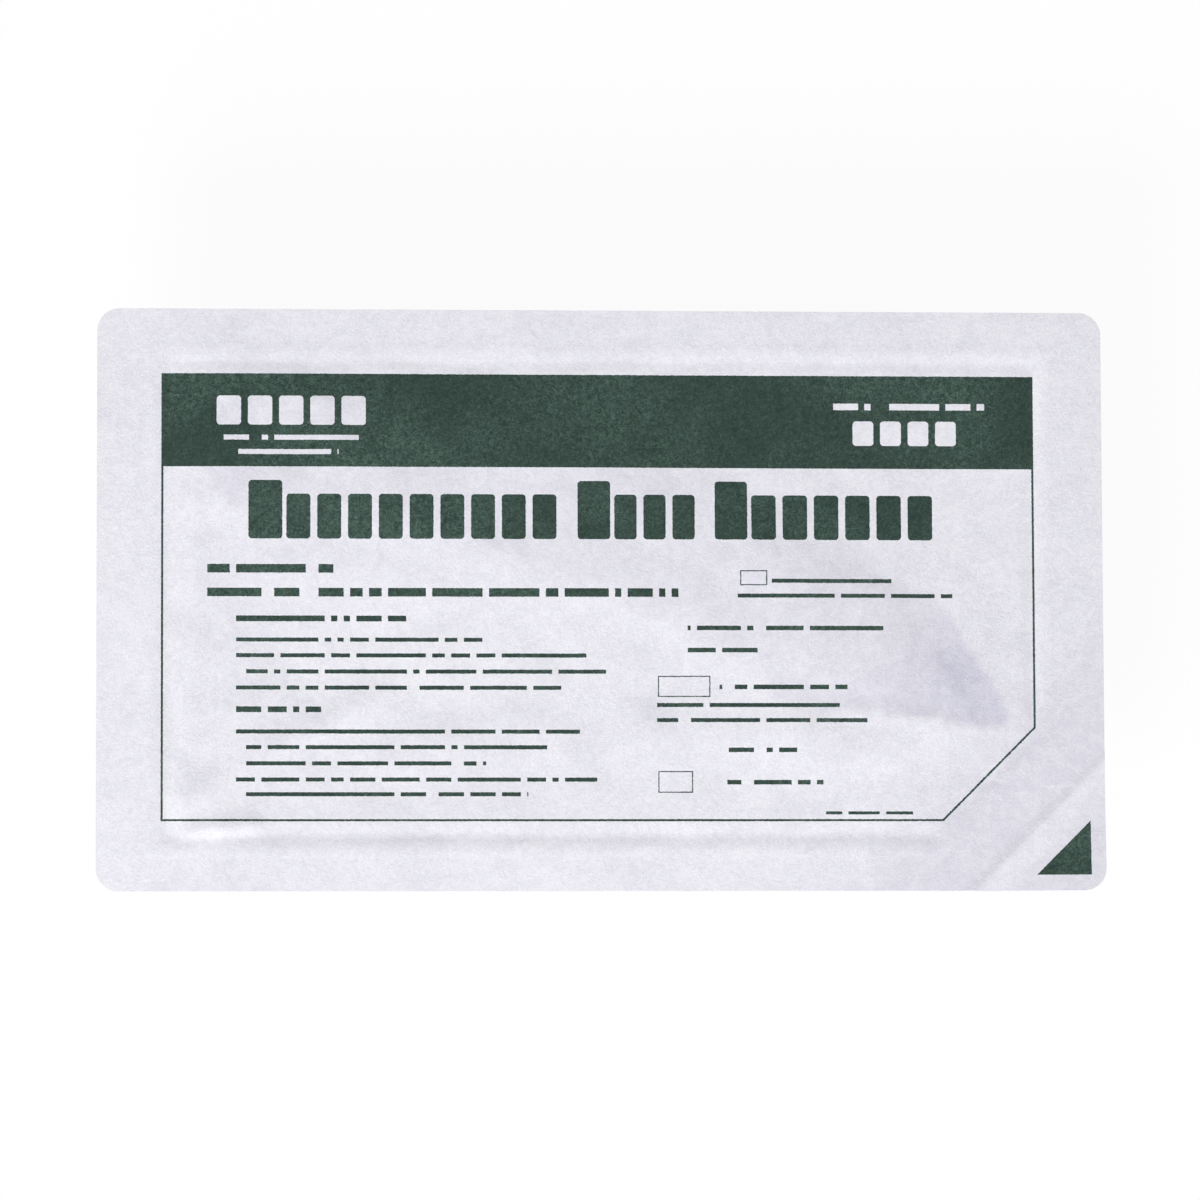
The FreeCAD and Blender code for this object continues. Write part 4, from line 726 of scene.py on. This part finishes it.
def lid_material(lid):
    """Spun-bonded sheet with the green print, and painted shade over the stapler and at the loose corner."""
    shader = Shader("printed_spun_bond_sheet")
    u, v, _ = shader.split(shader.node("ShaderNodeUVMap", {"uv_map": "print"}))
    plain_x = (u - 0.5) * PRINT_SPAN
    plain_y = (v - 0.5) * PRINT_SPAN
    place = shader.vector(plain_x, plain_y)
    wander = (shader.noise(place, 2.2) - 0.5) * INK_WANDER
    x, y = plain_x + wander, plain_y - wander
    cloud, blotch, strands, flecks = spun_bond(shader, place)
    contact = shader.node("ShaderNodeAttribute", {"attribute_name": "contact"}, output=2)

    depth = (x - PRINT_LEFT).least(PRINT_RIGHT - x).least(y - PRINT_BOTTOM).least(PRINT_TOP - y)
    depth = depth.least((PRINT_CORNER - x + y) / math.sqrt(2))
    printed = (depth > 0.0) * ((depth < RULE_WIDTH).most(y > BAND_BOTTOM))
    tip = (x < TRIANGLE_X) * (y > TRIANGLE_Y)
    triangle = tip * ((x - y) > (TRIANGLE_X - TRIANGLE_Y - TRIANGLE_LEG))
    ink = printed.most(triangle)
    ink = ink.most(ruled(shader, x, y, LEFT_RULES, 3.0))
    ink = ink.most(ruled(shader, x, y, RIGHT_RULES, 11.0))
    for row in HEADING_ROWS:
        ink = ink.most(block_row(x, y, *row))
    for left, right, low, high in LABEL_BOXES:
        outer = boxed(x, y, left, right, low, high)
        inner = boxed(x, y, left + BOX_LINE, right - BOX_LINE, low + BOX_LINE, high - BOX_LINE)
        ink = ink.most(outer - inner)
    white = ruled(shader, x, y, BAND_RULES, 5.0).most(ruled(shader, x, y, BAND_RIGHT_RULES, 23.0))
    for row in BAND_ROWS:
        white = white.most(block_row(x, y, *row))
    ink = ink * (1.0 - white)

    paper = sheet_tone(shader, lid, cloud, blotch, strands, flecks)
    # Painted shade: the paper turns grey-violet over the stapler and at the loose corner, broken up by the
    # blotches
    paper = shader.mix(contact * (0.62 + 0.38 * blotch.between(0.3, 0.7)), paper, PAINTED_SHADE_COLOUR)
    thin = strands * 0.5 + flecks.between(0.42, 0.7) * 0.45
    green = shader.mix(thin * (0.45 + 0.55 * cloud.between(0.35, 0.65)), lid.ink_colour,
                       lid.ink_wear_colour)
    green = shader.mix(blotch.between(0.5, 0.72) * 0.5, green, DEEP_INK_COLOUR)
    return sheet_surface(shader, shader.mix(ink, paper, green), SHEET_ROUGHNESS - ink * INK_GLOSS,
                         strands * 0.5 + flecks * 0.6 + blotch * 0.4)


def hinge_span(joint, reach):
    """A point on a fold's line, one a distance past it toward +X, and the direction between them."""
    start = Vector(joint["pos_m"])
    away = Vector((0, 0, 1)).cross(Vector(joint["axis"])).normalized()
    if away.x < 0:
        away = -away
    return start, start + away * reach, away


def lid_stretch(surface, node, planes, materials):
    """One stretch of the lid, cut from its upper side and given its thickness."""
    obj = new_object(node + "_sheet", cut_lid(surface, node + "_sheet", planes))
    for material in materials:
        obj.data.materials.append(material)
    solid = obj.modifiers.new("thickness", "SOLIDIFY")
    solid.thickness = settings("lid").thickness
    solid.offset = -1
    solid.material_offset = solid.material_offset_rim = 1
    applied(obj)
    obj.data.set_sharp_from_angle(angle=SHEET_SHARP_ANGLE)
    return obj


def declare_stretch(node):
    """Hides the CAD node of a stretch."""
    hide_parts(node)


class PEELPACK_OT_lid(bpy.types.Operator):
    """Printed lid in three stretches that meet at the two folds"""

    bl_idname = "peelpack.lid"
    bl_label = "Lid"
    bl_options = {"REGISTER", "UNDO"}

    def execute(self, context):
        lid = settings("lid")
        surface = lid_surface(lid)
        materials = lid_material(lid), bare_sheet_material(lid)
        sealed, past_sealed, inward = hinge_span(JOINTS["lid_peel"], SEALED_BEND)
        peel, past_peel, outward = hinge_span(JOINTS["corner_peel"], PEEL_BEND)

        panel = lid_stretch(surface, "lid_panel", ((sealed, inward), (peel, -outward)), materials)
        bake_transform(panel)
        declare_stretch("lid_panel")

        corner = lid_stretch(surface, "lid_peel_corner", ((peel, outward),), materials)
        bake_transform(corner)
        declare_stretch("lid_peel_corner")

        stay = lid_stretch(surface, "lid_sealed_corner", ((sealed, -inward),), materials)
        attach(stay, "pack")
        declare_stretch("lid_sealed_corner")
        bpy.data.meshes.remove(surface)
        return {"FINISHED"}


# Finished copies of the CAD nodes
def break_edges(shape, width, sharp_angle):
    """Merge the flat faces of a shape and round its sharp edges."""
    bmesh.ops.dissolve_limit(shape, angle_limit=FLAT_ANGLE, verts=shape.verts, edges=shape.edges)
    sharp = [e for e in shape.edges
             if len(e.link_faces) == 2 and e.calc_face_angle() > sharp_angle]
    bmesh.ops.bevel(shape, geom=sharp, offset=width, segments=2, profile=0.5, affect="EDGES",
                    clamp_overlap=True)
    bmesh.ops.triangulate(shape, faces=[f for f in shape.faces if len(f.verts) > 4])


def finished_copy(node, material, edge=0.0, smooth_angle=35.0, subdivide=0, rides=True):
    """Copy of a CAD node's mesh with broken edges and a material, which replaces the node."""
    sharp_angle = math.radians(smooth_angle)
    mesh = NODES[node].data.copy()
    mesh.name = node + "_finished"
    mesh.materials.clear()
    shape = bmesh.new()
    shape.from_mesh(mesh)
    bmesh.ops.remove_doubles(shape, verts=shape.verts, dist=WELD_DISTANCE)
    if edge:
        break_edges(shape, edge, sharp_angle)
    if subdivide:
        bmesh.ops.join_triangles(shape, faces=shape.faces, angle_face_threshold=QUAD_FACE_ANGLE,
                                 angle_shape_threshold=QUAD_SHAPE_ANGLE)
    shape.to_mesh(mesh)
    shape.free()
    obj = new_object(node + "_finished", mesh)
    if subdivide:
        levels = obj.modifiers.new("round", "SUBSURF")
        levels.levels = levels.render_levels = subdivide
        applied(obj)
    obj.data.materials.clear()
    obj.data.materials.append(material)
    obj.data.shade_smooth()
    obj.data.set_sharp_from_angle(angle=sharp_angle)
    if edge:
        obj.modifiers.new("flat_faces", "WEIGHTED_NORMAL").keep_sharp = True
        applied(obj)
    if rides:
        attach(obj, BODY_OF[node])
    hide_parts(node)
    return obj


def moulded(name, colour, grain=0.00002, roughness=0.42):
    """Fine matt moulding, slightly uneven in gloss and colour."""
    shader = Shader(name)
    place = shader.node("ShaderNodeTexCoord", output=3)
    fine = shader.noise(place, 2600.0, detail=3.0)
    broad = shader.noise(place, 55.0, detail=3.0, distortion=0.4)
    darker = tuple(channel * 0.9 for channel in colour[:3]) + (1.0,)
    return shader.surface(
        Base_Color=shader.mix(broad.between(0.35, 0.7) * 0.5, tuple(colour), darker),
        Roughness=roughness + broad * 0.12, Normal=shader.bump(fine, grain, strength=0.5))


def clear_plastic(name, colour, opacity):
    """Clear formed sheet with faint haze, its steep walls more opaque as a painted reflection of walls seen
    edge-on.
    """
    shader = Shader(name)
    place = shader.node("ShaderNodeTexCoord", output=3)
    haze = shader.noise(place, 38.0, detail=3.0, distortion=0.5)
    streaks = shader.noise(shader.node("ShaderNodeMapping", inputs={
        "Vector": place, "Scale": (14.0, 160.0, 40.0)}), 1.0)
    # Painted reflection: walls that stand steeply are made more opaque than flat parts
    facing = shader.node("ShaderNodeNewGeometry", output=3)
    steep = 1.0 - abs(shader.split(facing)[2]).between(0.25, 0.97)
    return shader.surface(
        Base_Color=shader.mix(haze * 0.4, tuple(colour), WHITE),
        Roughness=0.07 + haze * 0.06,
        Alpha=opacity + steep * 0.22 + (haze - 0.5) * 0.08 + streaks * 0.03,
        Normal=shader.bump(haze + streaks * 0.4, 0.0001, strength=0.35), IOR=1.57,
        Specular_IOR_Level=0.8)


def steel(name, colour, roughness, direction):
    """Rolled or drawn steel with fine lines along one direction."""
    shader = Shader(name)
    place = shader.node("ShaderNodeTexCoord", output=3)
    lines = shader.noise(shader.node("ShaderNodeMapping", inputs={
        "Vector": place, "Scale": direction}), 1.0, detail=4.0)
    broad = shader.noise(place, 90.0)
    darker = tuple(channel * 0.8 for channel in colour[:3]) + (1.0,)
    return shader.surface(
        Base_Color=shader.mix(lines.between(0.3, 0.7) * 0.45, tuple(colour), darker),
        Metallic=1.0, Roughness=roughness + lines * 0.14 + broad * 0.05,
        Normal=shader.bump(lines, 0.00002, strength=0.4))


class PEELPACK_OT_tray(bpy.types.Operator):
    """Clear formed tray"""

    bl_idname = "peelpack.tray"
    bl_label = "Tray"
    bl_options = {"REGISTER", "UNDO"}

    def execute(self, context):
        tray = settings("tray")
        material = clear_plastic("clear_formed_sheet", tray.colour, tray.opacity)
        finished_copy("blister_tray", material, smooth_angle=50.0)
        return {"FINISHED"}


class PEELPACK_OT_shells(bpy.types.Operator):
    """Both shells of the stapler's handle and head"""

    bl_idname = "peelpack.shells"
    bl_label = "Shells"
    bl_options = {"REGISTER", "UNDO"}

    def execute(self, context):
        stapler = settings("stapler")
        material = moulded("white_shell_moulding", stapler.shell_colour)
        for node in ("shell_left", "shell_right"):
            finished_copy(node, material, edge=stapler.edge, smooth_angle=40.0)
        return {"FINISHED"}


class PEELPACK_OT_trigger(bpy.types.Operator):
    """Squeeze trigger"""

    bl_idname = "peelpack.trigger"
    bl_label = "Trigger"
    bl_options = {"REGISTER", "UNDO"}

    def execute(self, context):
        stapler = settings("stapler")
        material = moulded("green_trigger_moulding", stapler.trigger_colour, grain=0.00003,
                           roughness=0.38)
        finished_copy("trigger", material, edge=stapler.edge, smooth_angle=40.0)
        return {"FINISHED"}


class PEELPACK_OT_steel_parts(bpy.types.Operator):
    """Pin, drive arm, former, nose plate, rail and leaf spring"""

    bl_idname = "peelpack.steel_parts"
    bl_label = "Steel parts"
    bl_options = {"REGISTER", "UNDO"}

    def execute(self, context):
        metal = settings("metal")
        rolled = steel("rolled_steel", metal.steel_colour, 0.26, (300.0, 9000.0, 600.0))
        spring = steel("spring_steel_strip", metal.steel_colour, 0.3, (4000.0, 600.0, 600.0))
        for node in ("trigger_pin", "drive_arm", "staple_former", "nose_plate", "anvil_track"):
            finished_copy(node, rolled, edge=metal.edge)
        finished_copy("ejector_spring", spring)
        return {"FINISHED"}


def return_spring(wire):
    """Coil between the handle and the trigger."""
    coil = finished_copy("return_spring", wire, smooth_angle=COIL_SMOOTH_ANGLE, subdivide=1,
                         rides=False)
    low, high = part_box("return_spring")
    middle = (low + high) / 2
    arm = middle - Vector(JOINTS["trigger_squeeze"]["pos_m"])
    axis = Vector((arm.y, -arm.x, 0)).normalized()
    if axis.y < 0:
        axis = -axis
    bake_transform(coil)


def follower_spring(wire):
    """Thin coil along the magazine."""
    coil = finished_copy("follower_spring", wire, smooth_angle=COIL_SMOOTH_ANGLE, subdivide=1)
    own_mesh(coil)


class PEELPACK_OT_springs(bpy.types.Operator):
    """Return spring of the trigger and spring of the follower"""

    bl_idname = "peelpack.springs"
    bl_label = "Springs"
    bl_options = {"REGISTER", "UNDO"}

    def execute(self, context):
        metal = settings("metal")
        wire = steel("drawn_spring_wire", metal.steel_colour, 0.24, (900.0, 900.0, 900.0))
        return_spring(wire)
        follower_spring(wire)
        return {"FINISHED"}


class PEELPACK_OT_cartridge(bpy.types.Operator):
    """Magazine trough, clear cover and follower"""

    bl_idname = "peelpack.cartridge"
    bl_label = "Cartridge"
    bl_options = {"REGISTER", "UNDO"}

    def execute(self, context):
        stapler, tray = settings("stapler"), settings("tray")
        trough = moulded("cartridge_moulding", stapler.cartridge_colour, grain=0.00001,
                         roughness=0.34)
        follower = moulded("follower_moulding", stapler.trigger_colour, grain=0.00001,
                           roughness=0.34)
        cover = clear_plastic("clear_cover_moulding", tray.colour, tray.opacity)
        finished_copy("cartridge_body", trough, edge=stapler.edge / 2)
        finished_copy("follower", follower, edge=stapler.edge / 2)
        finished_copy("cartridge_cover", cover, edge=stapler.edge / 3)
        return {"FINISHED"}


class PEELPACK_OT_staples(bpy.types.Operator):
    """Ready staple and the staples behind it"""

    bl_idname = "peelpack.staples"
    bl_label = "Staples"
    bl_options = {"REGISTER", "UNDO"}

    def execute(self, context):
        metal = settings("metal")
        wire = steel("bright_staple_wire", metal.wire_colour, 0.16, (1500.0, 1500.0, 1500.0))
        for node in ("ready_staple", "staple_strip"):
            finished_copy(node, wire, smooth_angle=62.0)
        return {"FINISHED"}


def background_material(colour):
    """Pale ground that is white to the eye and still keeps the shadow of what stands on it."""
    shader = Shader("pale_ground")
    path = shader.node("ShaderNodeLightPath").output.node
    seen = Socket(shader, path.outputs["Is Camera Ray"])
    for name in ("Is Glossy Ray", "Is Transmission Ray"):
        seen = seen.most(Socket(shader, path.outputs[name]))
    matt = shader.node("ShaderNodeBsdfDiffuse", inputs={"Color": tuple(colour)})
    glow = shader.node("ShaderNodeEmission", inputs={"Color": WHITE, "Strength": 1.0})
    mixed = shader.node("ShaderNodeMixShader", inputs={0: seen * GROUND_GLOW, 1: matt, 2: glow})
    shader.node("ShaderNodeOutputMaterial", inputs={"Surface": mixed})
    return shader.material


def make_floor(stage):
    """Large pale floor just below the tray."""
    mesh = bpy.data.meshes.new("floor")
    corners = [(x * FLOOR_HALF, y * FLOOR_HALF, 0) for x, y in ((-1, -1), (1, -1), (1, 1), (-1, 1))]
    mesh.from_pydata(corners, [], [(0, 1, 2, 3)])
    mesh.materials.append(background_material(stage.floor_colour))
    floor = new_object("floor", mesh)
    floor.location.z = -FLOOR_DROP


def make_sky(stage):
    """Even dim sky that the camera itself sees as white."""
    world = bpy.data.worlds.new("sky")
    world.use_nodes = True
    tree = world.node_tree
    tree.nodes.clear()
    path = tree.nodes.new("ShaderNodeLightPath")
    dim = tree.nodes.new("ShaderNodeBackground")
    dim.inputs["Strength"].default_value = stage.sky
    plain = tree.nodes.new("ShaderNodeBackground")
    plain.inputs["Strength"].default_value = 1.0
    for background in (dim, plain):
        background.inputs["Color"].default_value = WHITE
    mixed = tree.nodes.new("ShaderNodeMixShader")
    result = tree.nodes.new("ShaderNodeOutputWorld")
    tree.links.new(path.outputs["Is Camera Ray"], mixed.inputs[0])
    tree.links.new(dim.outputs[0], mixed.inputs[1])
    tree.links.new(plain.outputs[0], mixed.inputs[2])
    tree.links.new(mixed.outputs[0], result.inputs[0])
    return world


def make_lamp(stage):
    """Large soft lamp in front of the pack's lower left corner, aimed at the lid."""
    lamp = bpy.data.lights.new("key_lamp", "AREA")
    lamp.shape = "DISK"
    lamp.size = LAMP_SIZE
    lamp.energy = stage.key
    holder = bpy.data.objects.new("key_lamp", lamp)
    holder.location = LAMP_PLACE
    beam = Vector(LAMP_TARGET) - Vector(LAMP_PLACE)
    holder.rotation_euler = beam.to_track_quat("-Z", "Y").to_euler()
    bpy.context.scene.collection.objects.link(holder)


def make_camera(stage):
    """Camera almost straight above the pack."""
    camera = bpy.data.cameras.new("camera")
    camera.sensor_width = CAMERA_SENSOR
    camera.lens = stage.lens
    camera.clip_start, camera.clip_end = CAMERA_NEAR, CAMERA_FAR
    holder = bpy.data.objects.new("camera", camera)
    holder.location = CAMERA_PLACE
    holder.rotation_euler = CAMERA_TURN
    bpy.context.scene.collection.objects.link(holder)
    return holder


class PEELPACK_OT_stage(bpy.types.Operator):
    """Floor, sky, lamp and camera"""

    bl_idname = "peelpack.stage"
    bl_label = "Stage"
    bl_options = {"REGISTER", "UNDO"}

    def execute(self, context):
        stage = settings("stage")
        make_floor(stage)
        context.scene.world = make_sky(stage)
        make_lamp(stage)
        context.scene.camera = make_camera(stage)
        context.scene.view_settings.view_transform = "Standard"
        return {"FINISHED"}


GROUPS = {"lid": LidSettings, "tray": TraySettings, "stapler": StaplerSettings,
          "metal": MetalSettings, "stage": StageSettings}
OPERATORS = (PEELPACK_OT_tray, PEELPACK_OT_shells, PEELPACK_OT_trigger, PEELPACK_OT_steel_parts,
             PEELPACK_OT_springs, PEELPACK_OT_cartridge, PEELPACK_OT_staples, PEELPACK_OT_lid,
             PEELPACK_OT_stage)


class PEELPACK_PT_panel(bpy.types.Panel):
    """Sizes and colours of the pack, with a button for each group of pieces"""

    bl_idname = "PEELPACK_PT_panel"
    bl_label = "Peel pack"
    bl_space_type = "VIEW_3D"
    bl_region_type = "UI"
    bl_category = "Peel pack"

    def draw(self, context):
        for name, group in GROUPS.items():
            box = self.layout.box()
            for key in group.__annotations__:
                box.prop(settings(name), key)
        for operator in OPERATORS:
            self.layout.operator(operator.bl_idname)


def register():
    for group in GROUPS.values():
        bpy.utils.register_class(group)
    for name, group in GROUPS.items():
        setattr(bpy.types.Scene, "peel_pack_" + name, bpy.props.PointerProperty(type=group))
    for operator in OPERATORS:
        bpy.utils.register_class(operator)
    bpy.utils.register_class(PEELPACK_PT_panel)


def unregister():
    bpy.utils.unregister_class(PEELPACK_PT_panel)
    for operator in reversed(OPERATORS):
        bpy.utils.unregister_class(operator)
    for name in GROUPS:
        delattr(bpy.types.Scene, "peel_pack_" + name)
    for group in GROUPS.values():
        bpy.utils.unregister_class(group)


def main():
    register()
    for operator in OPERATORS:
        name = operator.bl_idname.split(".")[1]
        getattr(bpy.ops.peelpack, name)()


if __name__ == "__main__":
    main()
